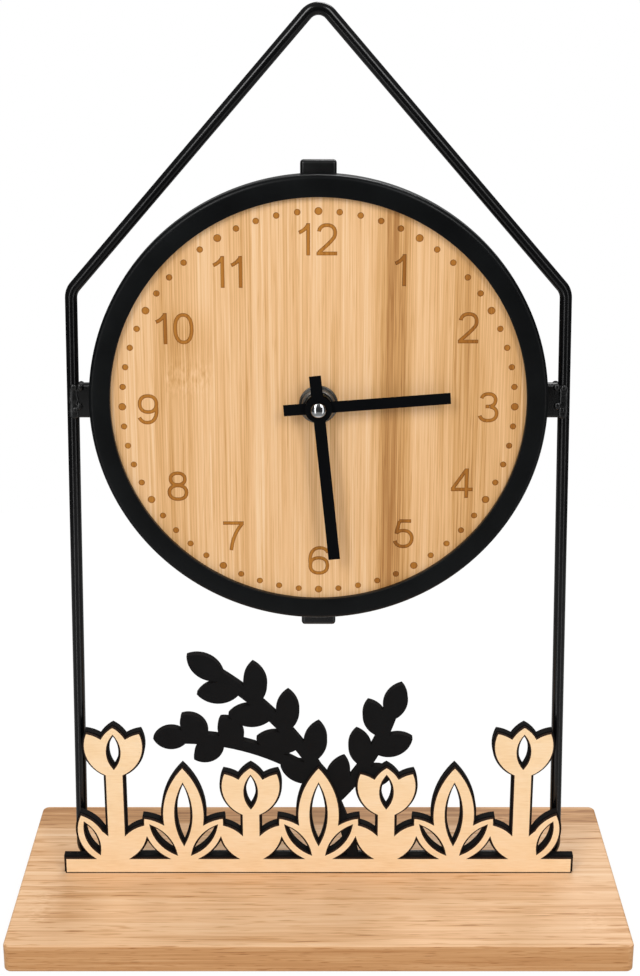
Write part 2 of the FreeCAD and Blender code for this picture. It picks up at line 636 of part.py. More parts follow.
# ---------------------------------------------------------------- wheels inside the movement
def make_setting_wheel():
    """Motion wheel, its pinion and the shaft that carries the knob."""
    wheel = gear(SETTING_WHEEL_TEETH, CANNON_PAIR_MODULE, SETTING_WHEEL_S, WHEEL_T, SETTING_AT,
                 facing_phase(SETTING_WHEEL_TEETH, 0.0))
    pinion = gear(SETTING_PINION_TEETH, HOUR_PAIR_MODULE, HOUR_WHEEL_S, PINION_T, SETTING_AT, 0.0)
    collar = cylinder_s(SETTING_ARBOR_D / 2 + BOSS_WALL, HOUR_WHEEL_S, SETTING_WHEEL_S, SETTING_AT)
    arbor = cylinder_s(SETTING_ARBOR_D / 2, CASE_FRONT_T, CASE_DEPTH + FREE_GAP + KNOB_T / 2, SETTING_AT)
    return joined([wheel, pinion, collar, arbor])


def make_setting_knob():
    front_s = CASE_DEPTH + FREE_GAP
    knob = cylinder_s(KNOB_D / 2, front_s, front_s + KNOB_T, SETTING_AT)
    for index in range(KNOB_GROOVES):
        angle = 2 * math.pi * index / KNOB_GROOVES
        at = (SETTING_AT[0] + KNOB_D / 2 * math.cos(angle), SETTING_AT[1] + KNOB_D / 2 * math.sin(angle))
        knob = knob.cut(cylinder_s(KNOB_GROOVE_D / 2, front_s, front_s + KNOB_T, at))
    return knob.cut(cylinder_s(SETTING_ARBOR_D / 2, front_s, front_s + KNOB_T / 2, SETTING_AT))


def make_centre_wheel():
    """Driven by the third wheel's pinion, slips on the minute pipe when the hands are set."""
    toward_third = 90.0
    wheel = gear(CENTRE_TEETH, CENTRE_MODULE, CENTRE_WHEEL_S, WHEEL_T, (0.0, 0.0),
                 facing_phase(CENTRE_TEETH, toward_third))
    return hollow(wheel, MINUTE_PIPE_D / 2 + RUNNING_FIT, CENTRE_WHEEL_S, CENTRE_WHEEL_S + WHEEL_T)


def make_third_wheel():
    toward_spindle = 270.0
    pinion = gear(PINION_TEETH, CENTRE_MODULE, CENTRE_WHEEL_S, PINION_T, THIRD_AT, toward_spindle)
    wheel = gear(THIRD_TEETH, TRAIN_MODULE, THIRD_WHEEL_S, WHEEL_T, THIRD_AT,
                 facing_phase(THIRD_TEETH, toward_spindle))
    arbor = cylinder_s(ARBOR_D / 2, CASE_FRONT_T, PLATE_S + PLATE_T, THIRD_AT)
    return joined([pinion, wheel, arbor])


def make_seconds_wheel():
    pinion = gear(PINION_TEETH, TRAIN_MODULE, THIRD_WHEEL_S, PINION_T, (0.0, 0.0), 90.0)
    wheel = gear(SECONDS_TEETH, TRAIN_MODULE, SECONDS_WHEEL_S, WHEEL_T, (0.0, 0.0),
                 facing_phase(SECONDS_TEETH, INTERMEDIATE_ANGLE))
    arbor = cylinder_s(ARBOR_D / 2, HOUR_WHEEL_S, COVER_S, (0.0, 0.0))
    return joined([pinion, wheel, arbor])


def make_intermediate_wheel():
    toward_rotor = 0.0
    toward_spindle = INTERMEDIATE_ANGLE + 180.0
    pinion = gear(PINION_TEETH, TRAIN_MODULE, SECONDS_WHEEL_S, PINION_T, INTERMEDIATE_AT, toward_spindle)
    wheel = gear(INTERMEDIATE_TEETH, TRAIN_MODULE, INTERMEDIATE_WHEEL_S, WHEEL_T, INTERMEDIATE_AT,
                 facing_phase(INTERMEDIATE_TEETH, toward_rotor))
    arbor = cylinder_s(ARBOR_D / 2, PLATE_S, COVER_S, INTERMEDIATE_AT)
    return joined([pinion, wheel, arbor])


def make_rotor_pinion():
    pinion = gear(PINION_TEETH, TRAIN_MODULE, INTERMEDIATE_WHEEL_S, PINION_T, ROTOR_AT, 180.0)
    arbor = cylinder_s(ARBOR_D / 2, PLATE_S, COVER_S, ROTOR_AT)
    return joined([pinion, arbor])


def make_rotor_magnet():
    magnet = cylinder_s(ROTOR_MAGNET_D / 2, ROTOR_MAGNET_S, ROTOR_MAGNET_S + ROTOR_MAGNET_L, ROTOR_AT)
    return hollow(magnet, ARBOR_D / 2, ROTOR_MAGNET_S, ROTOR_MAGNET_S + ROTOR_MAGNET_L, ROTOR_AT)


# ---------------------------------------------------------------- movement case
def case_outline(front_s, back_s, z_low):
    """Rounded square block of the case, from z_low up."""
    half = CASE_SIZE / 2
    block = box_s((-half, half), (-half, half), (front_s, back_s))
    block = block.makeFillet(CASE_CORNER_R, upright_edges(block, half, half))
    return block.common(box_s((-half, half), (z_low, half), (front_s, back_s)))


def bearing_boss(at, arbor_d, from_s, to_s):
    """Short round boss with a bearing hole."""
    boss = cylinder_s(arbor_d / 2 + RUNNING_FIT + BOSS_WALL, from_s, to_s, at)
    return boss.cut(cylinder_s(arbor_d / 2 + RUNNING_FIT, from_s, to_s, at))


def post_positions():
    side = CAVITY_HALF - POST_INSET
    return [(x, z) for x in (-side, side) for z in (CAVITY_LOW_Z + POST_INSET, CAVITY_HALF - POST_INSET)]


def make_movement_case():
    half = CASE_SIZE / 2
    case = case_outline(0.0, CASE_DEPTH, -half)
    case = case.cut(box_s((-half, half), (BAY_TOP, half), (COVER_S, CASE_DEPTH)))
    inside = (-CAVITY_HALF, CAVITY_HALF)
    case = case.cut(box_s(inside, (CAVITY_LOW_Z, CAVITY_HALF), (CASE_FRONT_T, CASE_DEPTH)))
    case = case.cut(box_s(inside, (-CAVITY_HALF, BAY_TOP), (CASE_FRONT_T, CASE_DEPTH)))
    case = case.cut(cylinder_s(BUSH_D / 2, 0.0, CASE_FRONT_T))
    posts = [cylinder_s(POST_D / 2, CASE_FRONT_T, PLATE_S, at) for at in post_positions()]
    bosses = [bearing_boss(THIRD_AT, ARBOR_D, CASE_FRONT_T, CASE_FRONT_T + BOSS_H),
              bearing_boss(SETTING_AT, SETTING_ARBOR_D, CASE_FRONT_T, CASE_FRONT_T + BOSS_H)]
    return joined([case] + posts + bosses)


def make_movement_cover():
    half = CASE_SIZE / 2
    cover = case_outline(COVER_S, CASE_DEPTH, BAY_TOP)
    outer = CAVITY_HALF - LOOSE_FIT
    inner = outer - COVER_LIP_T
    low = CAVITY_LOW_Z + LOOSE_FIT
    lip = box_s((-outer, outer), (low, outer), (COVER_S - COVER_LIP_H, COVER_S))
    lip = lip.cut(box_s((-inner, inner), (low + COVER_LIP_T, inner), (COVER_S - COVER_LIP_H, COVER_S)))
    shafts = ((0.0, 0.0), INTERMEDIATE_AT, ROTOR_AT)
    bosses = [bearing_boss(at, ARBOR_D, BEARING_S, COVER_S) for at in shafts]
    cover = joined([cover, lip] + bosses)
    return hollow(cover, SETTING_ARBOR_D / 2 + RUNNING_FIT, COVER_S, CASE_DEPTH, SETTING_AT)


def make_gear_plate():
    edge = CAVITY_HALF - LOOSE_FIT
    back_s = PLATE_S + PLATE_T
    plate = box_s((-edge, edge), (CAVITY_LOW_Z + LOOSE_FIT, edge), (PLATE_S, back_s))
    for at, shaft_d in ((SETTING_AT, SETTING_ARBOR_D), ((0.0, 0.0), ARBOR_D), (THIRD_AT, ARBOR_D),
                        (INTERMEDIATE_AT, ARBOR_D), (ROTOR_AT, ARBOR_D)):
        plate = hollow(plate, shaft_d / 2 + RUNNING_FIT, PLATE_S, back_s, at)
    standoffs = [cylinder_s(STANDOFF_D / 2, back_s, back_s + STANDOFF_H, at) for at in circuit_standoffs()]
    pillars = [cylinder_s(STANDOFF_D / 2, back_s, STATOR_S, at) for at in stator_pillars()]
    return joined([plate] + standoffs + pillars)


# ---------------------------------------------------------------- motor and circuit
def circuit_standoffs():
    return [(CIRCUIT_MIDDLE_X, CIRCUIT_LOW_Z + STANDOFF_D), (CIRCUIT_MIDDLE_X, CIRCUIT_HIGH_Z - STANDOFF_D)]


def stator_pillars():
    return [(STATOR_RIGHT_X - STANDOFF_D, STATOR_LOW_Z + STANDOFF_D),
            (STATOR_LEFT_X + STANDOFF_D / 2, PILLAR_TOP_Z)]


def make_stator():
    """Flat U: a bar with the rotor's eye and a leg up each side of the coil."""
    back_s = STATOR_S + STATOR_T
    leg_z = (STATOR_HIGH_Z, COIL_Z + STATOR_LEG_W / 2)
    bar = box_s((STATOR_LEFT_X, STATOR_RIGHT_X), (STATOR_LOW_Z, STATOR_HIGH_Z), (STATOR_S, back_s))
    left = box_s((STATOR_LEFT_X, COIL_LEFT_X), leg_z, (STATOR_S, back_s))
    right = box_s((COIL_RIGHT_X, STATOR_RIGHT_X), leg_z, (STATOR_S, back_s))
    return hollow(joined([bar, left, right]), STATOR_HOLE_R, STATOR_S, back_s, ROTOR_AT)


def make_coil_core():
    half = STATOR_LEG_W / 2
    return box_s((STATOR_LEFT_X, STATOR_RIGHT_X), (COIL_Z - half, COIL_Z + half), (CORE_S, STATOR_S))


def coil_cylinder(radius, left_x, right_x):
    middle_y = MOVEMENT_Y + CORE_S + STATOR_T / 2
    base = Vector(left_x, middle_y, CLOCK_Z + COIL_Z)
    return Part.makeCylinder(radius, right_x - left_x, base, Vector(1, 0, 0))


def make_coil_bobbin():
    tube = coil_cylinder(COIL_TUBE_D / 2, COIL_LEFT_X, COIL_RIGHT_X)
    left = coil_cylinder(COIL_D / 2, COIL_LEFT_X, COIL_LEFT_X + COIL_FLANGE_T)
    right = coil_cylinder(COIL_D / 2, COIL_RIGHT_X - COIL_FLANGE_T, COIL_RIGHT_X)
    return joined([tube, left, right]).cut(make_coil_core())


def make_coil_winding():
    left_x = COIL_LEFT_X + COIL_FLANGE_T
    right_x = COIL_RIGHT_X - COIL_FLANGE_T
    outer = coil_cylinder(COIL_D / 2 - FREE_GAP, left_x, right_x)
    return outer.cut(coil_cylinder(COIL_TUBE_D / 2, left_x, right_x))


def make_circuit_board():
    return box_s((CIRCUIT_LEFT_X, CIRCUIT_RIGHT_X), (CIRCUIT_LOW_Z, CIRCUIT_HIGH_Z),
                 (CIRCUIT_S, CIRCUIT_S + CIRCUIT_T))


def make_quartz_crystal():
    base = Vector(CIRCUIT_MIDDLE_X, MOVEMENT_Y + CIRCUIT_S + CIRCUIT_T + CRYSTAL_D / 2, CLOCK_Z)
    return Part.makeCylinder(CRYSTAL_D / 2, CRYSTAL_L, base, Vector(0, 0, 1))


# ---------------------------------------------------------------- battery
def bay_cylinder(radius, left_x, right_x):
    base = Vector(left_x, MOVEMENT_Y + CELL_S, CLOCK_Z + BAY_MIDDLE_Z)
    return Part.makeCylinder(radius, right_x - left_x, base, Vector(1, 0, 0))


def make_battery_cell():
    nub_tip = CAVITY_HALF - CONTACT_T
    shoulder = nub_tip - CELL_NUB_L
    body = bay_cylinder(CELL_D / 2, shoulder - CELL_LENGTH, shoulder)
    rims = [e for e in body.Edges if e.BoundBox.XLength < SAME]
    body = body.makeFillet(CELL_EDGE_R, rims)
    return joined([body, bay_cylinder(CELL_NUB_D / 2, shoulder, nub_tip)])


def contact_plate(left_x):
    half = CONTACT_HEIGHT / 2
    return box_s((left_x, left_x + CONTACT_T), (BAY_MIDDLE_Z - half, BAY_MIDDLE_Z + half),
                 (CELL_S - CONTACT_WIDTH / 2, CELL_S + CONTACT_WIDTH / 2))


def make_positive_contact():
    return contact_plate(CAVITY_HALF - CONTACT_T)


def make_negative_contact():
    """Plate at the end wall with a sprung bulge that reaches the cell."""
    cell_end = CAVITY_HALF - CONTACT_T - CELL_NUB_L - CELL_LENGTH
    bulge_base = -CAVITY_HALF + CONTACT_T
    bulge = bay_cylinder(CONTACT_BUMP_D / 2, bulge_base, cell_end)
    rims = [e for e in bulge.Edges if abs(e.CenterOfMass.x - cell_end) < SAME]
    bulge = bulge.makeFillet((cell_end - bulge_base) / 2, rims)
    return joined([contact_plate(-CAVITY_HALF), bulge])


# ---------------------------------------------------------------- ornament
def leaning(lean):
    """Unit vector that leans so many degrees from upright, towards +X."""
    return Vector(math.sin(math.radians(lean)), 0, math.cos(math.radians(lean)))


def leaf(foot, lean, length, width, front_y, thickness, grow=0.0):
    """Pointed leaf between two arcs, from a foot given as (x, height)."""
    along = leaning(lean)
    across = Vector(-along.z, 0, along.x)
    start = Vector(foot[0], 0, BOARD_THICKNESS + foot[1]).sub(along * grow)
    tip = start.add(along * (length + 2 * grow))
    middle = start.add(tip) * 0.5
    bulge = across * (width / 2 + grow)
    left = Part.Arc(start, middle.add(bulge), tip)
    right = Part.Arc(tip, middle.sub(bulge), start)
    return extrude_y([left.toShape(), right.toShape()], front_y, thickness)


def bar_shape(x_range, h_range, front_y, thickness, grow=0.0):
    """Upright or level bar standing on the board."""
    low = max(BOARD_THICKNESS + h_range[0] - grow, BOARD_THICKNESS)
    high = BOARD_THICKNESS + h_range[1] + grow
    base = Vector(x_range[0] - grow, front_y, low)
    return Part.makeBox(x_range[1] - x_range[0] + 2 * grow, thickness, high - low, base)


def motif_positions():
    return [(index - (MOTIF_COUNT - 1) / 2) * MOTIF_PITCH for index in range(MOTIF_COUNT)]


def tulip_leaves(x, height):
    """Petals and stem leaves of one tulip: foot, lean, length, width, slot."""
    head = (x, height - TULIP_HEAD_H)
    foot = (x, RAIL_H - LEAF_SINK)
    return [
        (head, 0.0, TULIP_HEAD_H, PETAL_W, True),
        (head, SIDE_PETAL_LEAN, TULIP_HEAD_H, SIDE_PETAL_W, False),
        (head, -SIDE_PETAL_LEAN, TULIP_HEAD_H, SIDE_PETAL_W, False),
        (foot, STEM_LEAF_LEAN, STEM_LEAF_L, STEM_LEAF_W, False),
        (foot, -STEM_LEAF_LEAN, STEM_LEAF_L, STEM_LEAF_W, False),
    ]


def fan_leaves(x, height):
    """Three broad leaves that rise from one foot."""
    foot = (x, RAIL_H - LEAF_SINK)
    return [
        (foot, 0.0, height - foot[1], FAN_LEAF_W, True),
        (foot, FAN_SIDE_LEAN, FAN_SIDE_L, FAN_SIDE_W, True),
        (foot, -FAN_SIDE_LEAN, FAN_SIDE_L, FAN_SIDE_W, True),
    ]


def end_leaves():
    """Leaves that lean out over the rail's two ends."""
    foot_x = ORNAMENT_WIDTH / 2 - END_LEAF_INSET
    foot_h = RAIL_H - LEAF_SINK
    return [((side * foot_x, foot_h), side * END_LEAF_LEAN, END_LEAF_L, FAN_SIDE_W, True)
            for side in (-1, 1)]


def border_leaves():
    """All leaves of the wood border, and the x and height of each tulip stem."""
    leaves, stems = end_leaves(), []
    for index, x in enumerate(motif_positions()):
        at_end = index in (0, MOTIF_COUNT - 1)
        height = TALL_MOTIF_HEIGHT if at_end else MOTIF_HEIGHT
        if index % 2 == 0:
            leaves += tulip_leaves(x, height)
            stems.append((x, height - TULIP_HEAD_H + STEM_TOP))
        else:
            leaves += fan_leaves(x, height)
    return leaves, stems


def slot_cuts(leaves, shrink, front_y, thickness):
    """Pointed openings down the middle of the broad leaves."""
    cuts = []
    for foot, lean, length, width, slotted in leaves:
        if slotted:
            away = leaning(lean) * (length * SLOT_START)
            start = (foot[0] + away.x, foot[1] + away.z)
            slot_size = (length * SLOT_LENGTH, width * SLOT_WIDTH)
            cuts.append(leaf(start, lean, *slot_size, front_y, thickness, -shrink))
    return cuts


def border_solids(front_y, thickness, grow):
    """Rail, stems and leaves of the border as overlapping solids."""
    leaves, stems = border_leaves()
    half = ORNAMENT_WIDTH / 2
    solids = [bar_shape((-half, half), (0, RAIL_H), front_y, thickness, grow)]
    for x, top in stems:
        sides = (x - STEM_W / 2, x + STEM_W / 2)
        solids.append(bar_shape(sides, (RAIL_H - LEAF_SINK, top), front_y, thickness, grow))
    for foot, lean, length, width, _ in leaves:
        solids.append(leaf(foot, lean, length, width, front_y, thickness, grow))
    return solids, leaves


def arc_stem(start, middle, end, width, front_y, thickness):
    """Curved strip of even width through three points."""
    path = Part.Arc(*(Vector(x, 0, BOARD_THICKNESS + h) for x, h in (start, middle, end))).toShape()
    centre, radius = path.Curve.Center, path.Curve.Radius
    ends = [Vector(x, 0, BOARD_THICKNESS + h).sub(centre).normalize() for x, h in (start, middle, end)]
    outer = [centre.add(direction * (radius + width / 2)) for direction in ends]
    inner = [centre.add(direction * (radius - width / 2)) for direction in ends]
    edges = [
        Part.Arc(*outer).toShape(), Part.LineSegment(outer[2], inner[2]).toShape(),
        Part.Arc(inner[2], inner[1], inner[0]).toShape(), Part.LineSegment(inner[0], outer[0]).toShape(),
    ]
    return extrude_y(edges, front_y, thickness), path


def sprig_solids(front_y, thickness):
    """Black leafy branches that rise behind the border."""
    solids = []
    sizes = zip(SPRIG_BRANCHES, SPRIG_LEAF_L, SPRIG_LEAF_COUNTS, SPRIG_BARE_SHARES)
    for points, length, count, bare in sizes:
        stem, path = arc_stem(*points, SPRIG_STEM_W, front_y, thickness)
        solids.append(stem)
        first, last = path.FirstParameter, path.LastParameter
        for index in range(count):
            share = bare + (1 - bare) * index / (count - 1)
            at = first + (last - first) * share
            tangent = path.tangentAt(at)
            point = path.valueAt(at).sub(tangent * LEAF_SINK)
            foot = (point.x, point.z - BOARD_THICKNESS)
            turn = SPRIG_LEAF_TURN if index % 2 == 0 else -SPRIG_LEAF_TURN
            if index == count - 1:
                turn = 0.0
            lean = math.degrees(math.atan2(tangent.x, tangent.z)) + turn
            solids.append(leaf(foot, lean, length, SPRIG_LEAF_W, front_y, thickness))
    return solids


def make_ornament_face():
    solids, leaves = border_solids(ORNAMENT_Y, FACE_T, 0.0)
    return joined(solids).cut(slot_cuts(leaves, 0.0, ORNAMENT_Y, FACE_T))


def make_ornament_backing():
    solids, leaves = border_solids(BACKING_Y, BACKING_T, BORDER)
    border = joined(solids).cut(slot_cuts(leaves, BORDER, BACKING_Y, BACKING_T))
    sprig = joined(sprig_solids(BACKING_Y, BACKING_T))
    return joined([border, sprig] + tenon_boxes(0.0))


# ---------------------------------------------------------------- every piece by name
PIECES = {
    "base_board": make_base_board,
    "wire_frame": make_wire_frame,
    "frame_studs": make_frame_studs,
    "stud_washers": make_stud_washers,
    "stud_nuts": make_stud_nuts,
    "left_lug": lambda: make_lug("left_lug"),
    "right_lug": lambda: make_lug("right_lug"),
    "top_lug": lambda: make_lug("top_lug"),
    "bottom_lug": lambda: make_lug("bottom_lug"),
    "dial_screws": make_dial_screws,
    "clock_ring": make_clock_ring,
    "dial": make_dial,
    "threaded_bush": make_threaded_bush,
    "rubber_washer": make_rubber_washer,
    "dial_washer": make_dial_washer,
    "lock_nut": make_lock_nut,
    "hour_wheel": make_hour_wheel,
    "hour_hand": make_hour_hand,
    "minute_pipe": make_minute_pipe,
    "minute_hand": make_minute_hand,
    "cap_nut": make_cap_nut,
    "setting_wheel": make_setting_wheel,
    "setting_knob": make_setting_knob,
    "centre_wheel": make_centre_wheel,
    "third_wheel": make_third_wheel,
    "seconds_wheel": make_seconds_wheel,
    "intermediate_wheel": make_intermediate_wheel,
    "rotor_pinion": make_rotor_pinion,
    "rotor_magnet": make_rotor_magnet,
    "movement_case": make_movement_case,
    "movement_cover": make_movement_cover,
    "gear_plate": make_gear_plate,
    "stator": make_stator,
    "coil_core": make_coil_core,
    "coil_bobbin": make_coil_bobbin,
    "coil_winding": make_coil_winding,
    "circuit_board": make_circuit_board,
    "quartz_crystal": make_quartz_crystal,
    "battery_cell": make_battery_cell,
    "positive_contact": make_positive_contact,
    "negative_contact": make_negative_contact,
    "ornament_backing": make_ornament_backing,
    "ornament_face": make_ornament_face,
}


def main():
    os.makedirs("parts", exist_ok=True)
    for name, make in PIECES.items():
        shape = make()
        if shape.ShapeType != "Solid" and len(shape.Solids) == 1:
            shape = shape.Solids[0]
        shape.exportStep("parts/" + name + ".step")
        state = "valid" if shape.isValid() else "BAD"
        print(name, len(shape.Solids), "solid(s)", round(shape.Volume, 2), "mm3", state)


main()
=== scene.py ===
import json
import math

import bmesh
import bpy
from mathutils import Matrix, Vector

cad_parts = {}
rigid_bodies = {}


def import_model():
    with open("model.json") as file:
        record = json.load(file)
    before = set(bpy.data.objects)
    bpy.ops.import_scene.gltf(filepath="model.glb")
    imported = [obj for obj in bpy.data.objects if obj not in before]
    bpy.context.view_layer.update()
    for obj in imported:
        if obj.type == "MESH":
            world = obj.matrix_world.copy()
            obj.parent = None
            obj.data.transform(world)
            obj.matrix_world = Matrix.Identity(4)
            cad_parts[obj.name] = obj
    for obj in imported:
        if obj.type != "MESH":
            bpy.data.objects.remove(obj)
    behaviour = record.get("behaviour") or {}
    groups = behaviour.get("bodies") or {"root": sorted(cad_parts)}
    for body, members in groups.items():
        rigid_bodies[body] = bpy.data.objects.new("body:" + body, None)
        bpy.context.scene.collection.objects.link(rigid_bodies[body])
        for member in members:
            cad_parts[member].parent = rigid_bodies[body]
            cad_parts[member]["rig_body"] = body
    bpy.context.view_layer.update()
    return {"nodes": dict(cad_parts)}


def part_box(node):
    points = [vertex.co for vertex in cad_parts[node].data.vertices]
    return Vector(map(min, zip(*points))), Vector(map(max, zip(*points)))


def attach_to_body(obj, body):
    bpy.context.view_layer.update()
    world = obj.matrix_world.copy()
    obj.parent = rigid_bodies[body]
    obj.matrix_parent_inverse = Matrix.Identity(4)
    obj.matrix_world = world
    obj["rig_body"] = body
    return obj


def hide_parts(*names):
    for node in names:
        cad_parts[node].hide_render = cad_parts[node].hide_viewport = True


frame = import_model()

mm = 0.001
mergeDistance = 0.001 * mm
scene = bpy.context.scene
cadNodes = frame["nodes"]
ringLow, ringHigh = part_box("clock_ring")
clockCentre = Vector(((ringLow.x + ringHigh.x) / 2, 0, (ringLow.z + ringHigh.z) / 2))
print("frame loaded,", len(cadNodes), "construction nodes")


# small tools that every piece uses

def linear(hexText):
    # sRGB hex to the linear values that a shader takes
    parts = [int(hexText[start:start + 2], 16) / 255 for start in (1, 3, 5)]
    return [part / 12.92 if part <= 0.04045 else ((part + 0.055) / 1.055) ** 2.4 for part in parts] + [1]


def plug(tree, node, inputs):
    # fills a node's sockets with values or links
    for socket, value in inputs.items():
        if isinstance(value, bpy.types.NodeSocket):
            tree.links.new(value, node.inputs[socket])
        else:
            node.inputs[socket].default_value = value


def addNode(tree, kind, inputs=None, stops=(), output=0, **settings):
    # adds a node with its settings, what its sockets hold and its ramp's colours; gives one output
    node = tree.nodes.new(kind)
    for setting, value in settings.items():
        setattr(node, setting, value)
    plug(tree, node, inputs or {})
    for index, (position, colour) in enumerate(stops):
        elements = node.color_ramp.elements
        element = elements[index] if index < len(elements) else elements.new(position)
        element.position, element.color = position, linear(colour)
    return node.outputs[output] if node.outputs else None


def emptyTree(owner):
    # the shader nodes of a material or world, cleared
    owner.use_nodes = True
    owner.node_tree.nodes.clear()
    return owner.node_tree


def newMaterial(name):
    material = bpy.data.materials.new(name)
    tree = emptyTree(material)
    surface = addNode(tree, "ShaderNodeBsdfPrincipled")
    addNode(tree, "ShaderNodeOutputMaterial", {"Surface": surface})
    return material, tree, surface.node, addNode(tree, "ShaderNodeTexCoord", output="Object")


def addRelief(tree, shader, height, depth, strength=1.0):
    # depth is how far the relief stands out, in metres
    bump = addNode(tree, "ShaderNodeBump", {"Height": height, "Distance": depth, "Strength": strength})
    plug(tree, shader, {"Normal": bump})


def newPiece(name, mesh):
    piece = bpy.data.objects.new(name, mesh)
    scene.collection.objects.link(piece)
    return piece


def flatten(piece):
    # leaves a plain mesh with what the modifiers made
    bpy.context.view_layer.update()
    graph = bpy.context.evaluated_depsgraph_get()
    mesh = bpy.data.meshes.new_from_object(piece.evaluated_get(graph))
    piece.modifiers.clear()
    piece.data = mesh
    return piece


def shade(piece, degrees):
    # smooth all over, but for edges sharper than this
    mesh = piece.data
    mesh.polygons.foreach_set("use_smooth", [True] * len(mesh.polygons))
    mesh.set_sharp_from_angle(angle=math.radians(degrees))
    return piece


def fill(mesh, work, materials=()):
    # ends a bmesh in a mesh and adds its materials
    work.to_mesh(mesh)
    work.free()
    for material in materials:
        mesh.materials.append(material)
    return mesh


def meshOf(name, work, materials):
    # closes a bmesh into a mesh with its faces outwards
    bmesh.ops.remove_doubles(work, verts=work.verts, dist=mergeDistance)
    bmesh.ops.recalc_face_normals(work, faces=work.faces)
    return fill(bpy.data.meshes.new(name), work, materials)


def settle(piece, *nodes):
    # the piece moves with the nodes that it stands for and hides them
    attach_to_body(piece, cadNodes[nodes[0]]["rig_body"])
    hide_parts(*nodes)


def attach(piece, node):
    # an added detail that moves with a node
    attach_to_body(piece, cadNodes[node]["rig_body"])


copyShape = {
    # degrees: faces that turn less are joined, edges that turn more are rounded, and past how much beyond
    # that shading stays sharp
    "flat": 0.5, "corner": 32, "beyond": 15,
    "steps": 2, "flatWeight": 100, "facing": 0.99,
}


def cadCopy(node, name, materials):
    # the node's own mesh, merged, with its flat faces whole again
    source = cadNodes[node].data
    corners = [vertex.co for vertex in source.vertices]
    mesh = bpy.data.meshes.new(name)
    mesh.from_pydata(corners, [], [face.vertices for face in source.polygons])
    work = bmesh.new()
    work.from_mesh(mesh)
    bmesh.ops.remove_doubles(work, verts=work.verts, dist=mergeDistance)
    flat = math.radians(copyShape["flat"])
    bmesh.ops.dissolve_limit(work, angle_limit=flat, verts=work.verts, edges=work.edges)
    return newPiece(name, fill(mesh, work, materials))


def addRim(mesh, width):
    # a narrow band round every outline of the front face, in the second material
    work = bmesh.new()
    work.from_mesh(mesh)
    work.normal_update()
    front = [face for face in work.faces if face.normal.y < -copyShape["facing"]]
    for face in bmesh.ops.inset_region(work, faces=front, thickness=width, use_even_offset=True)["faces"]:
        face.material_index = 1
    fill(mesh, work)


def softened(node, name, edge, materials, corner=copyShape["corner"], rim=0.0):
    # a node's shape with its sharp edges rounded
    piece = cadCopy(node, name, materials)
    if rim:
        addRim(piece.data, rim)
    bevel = piece.modifiers.new("soften", "BEVEL")
    bevel.width, bevel.segments = edge, copyShape["steps"]
    bevel.limit_method, bevel.angle_limit = "ANGLE", math.radians(corner)
    bevel.miter_outer = "MITER_ARC"
    weighted = piece.modifiers.new("flat faces stay flat", "WEIGHTED_NORMAL")
    weighted.weight = copyShape["flatWeight"]
    piece.data.polygons.foreach_set("use_smooth", [True] * len(piece.data.polygons))
    flatten(piece).data.set_sharp_from_angle(angle=math.radians(corner + copyShape["beyond"]))
    return piece


def carve(piece, *cutters, crossing=None):
    # cuts the cutters' shapes out of a piece, in the cutters' finishes; one may have strokes that cross
    for cutter in cutters:
        cut = piece.modifiers.new("carve", "BOOLEAN")
        cut.operation, cut.object, cut.solver = "DIFFERENCE", cutter, "EXACT"
        cut.use_self = cutter is crossing
        cut.material_mode = "TRANSFER"
    flatten(piece)
    for cutter in cutters:
        bpy.data.objects.remove(cutter)


def lathe(name, profile, turns, materials):
    # turns a closed profile of (radius, depth) about the spindle
    work = bmesh.new()
    rings = []
    for index in range(turns):
        angle = 2 * math.pi * index / turns
        across = Vector((math.sin(angle), 0, math.cos(angle)))
        rings.append([work.verts.new(clockCentre + across * radius + Vector((0, depth, 0)))
                      for radius, depth in profile])
    for index, ring in enumerate(rings):
        following = rings[(index + 1) % turns]
        for step in range(len(profile)):
            after = (step + 1) % len(profile)
            work.faces.new((ring[step], ring[after], following[after], following[step]))
    return newPiece(name, meshOf(name, work, materials))


def arcPoints(centre, radii, start, end, steps, bulge=1.0):
    # points on an ellipse arc in degrees; a bulge below 1 makes it squarer
    points = []
    for step in range(steps + 1):
        angle = math.radians(start + (end - start) * step / steps)
        turn = [math.copysign(abs(part) ** bulge, part) for part in (math.cos(angle), math.sin(angle))]
        points.append((centre[0] + radii[0] * turn[0], centre[1] + radii[1] * turn[1]))
    return points


def newTree(name, sockets):
    # a Geometry Nodes tree with a geometry in and out, and named inputs for its sizes
    tree = bpy.data.node_groups.new(name, "GeometryNodeTree")
    tree.interface.new_socket("Geometry", in_out="INPUT", socket_type="NodeSocketGeometry")
    for label, kind in sockets:
        tree.interface.new_socket(label, in_out="INPUT", socket_type="NodeSocket" + kind)
    tree.interface.new_socket("Geometry", in_out="OUTPUT", socket_type="NodeSocketGeometry")
    return tree, addNode(tree, "NodeGroupInput").node.outputs


def closeTree(tree, geometry, material, smooth=True):
    # every tree ends alike: real geometry, shading, material
    real = addNode(tree, "GeometryNodeRealizeInstances", {0: geometry})
    shaded = addNode(tree, "GeometryNodeSetShadeSmooth", {0: real, "Shade Smooth": smooth})
    painted = addNode(tree, "GeometryNodeSetMaterial", {0: shaded, "Material": material})
    addNode(tree, "NodeGroupOutput", {0: painted})
    return tree


def grow(name, tree, values, points=(), edges=()):
    # runs a tree on a few guide points and keeps the plain mesh
    guide = bpy.data.meshes.new(name + "Guide")
    guide.from_pydata(points, edges, [])
    piece = newPiece(name, guide)
    modifier = piece.modifiers.new("grow", "NODES")
    modifier.node_group = tree
    for item in tree.interface.items_tree:
        if item.in_out == "INPUT" and item.name in values:
            modifier[item.identifier] = values[item.name]
    return flatten(piece)


# finishes

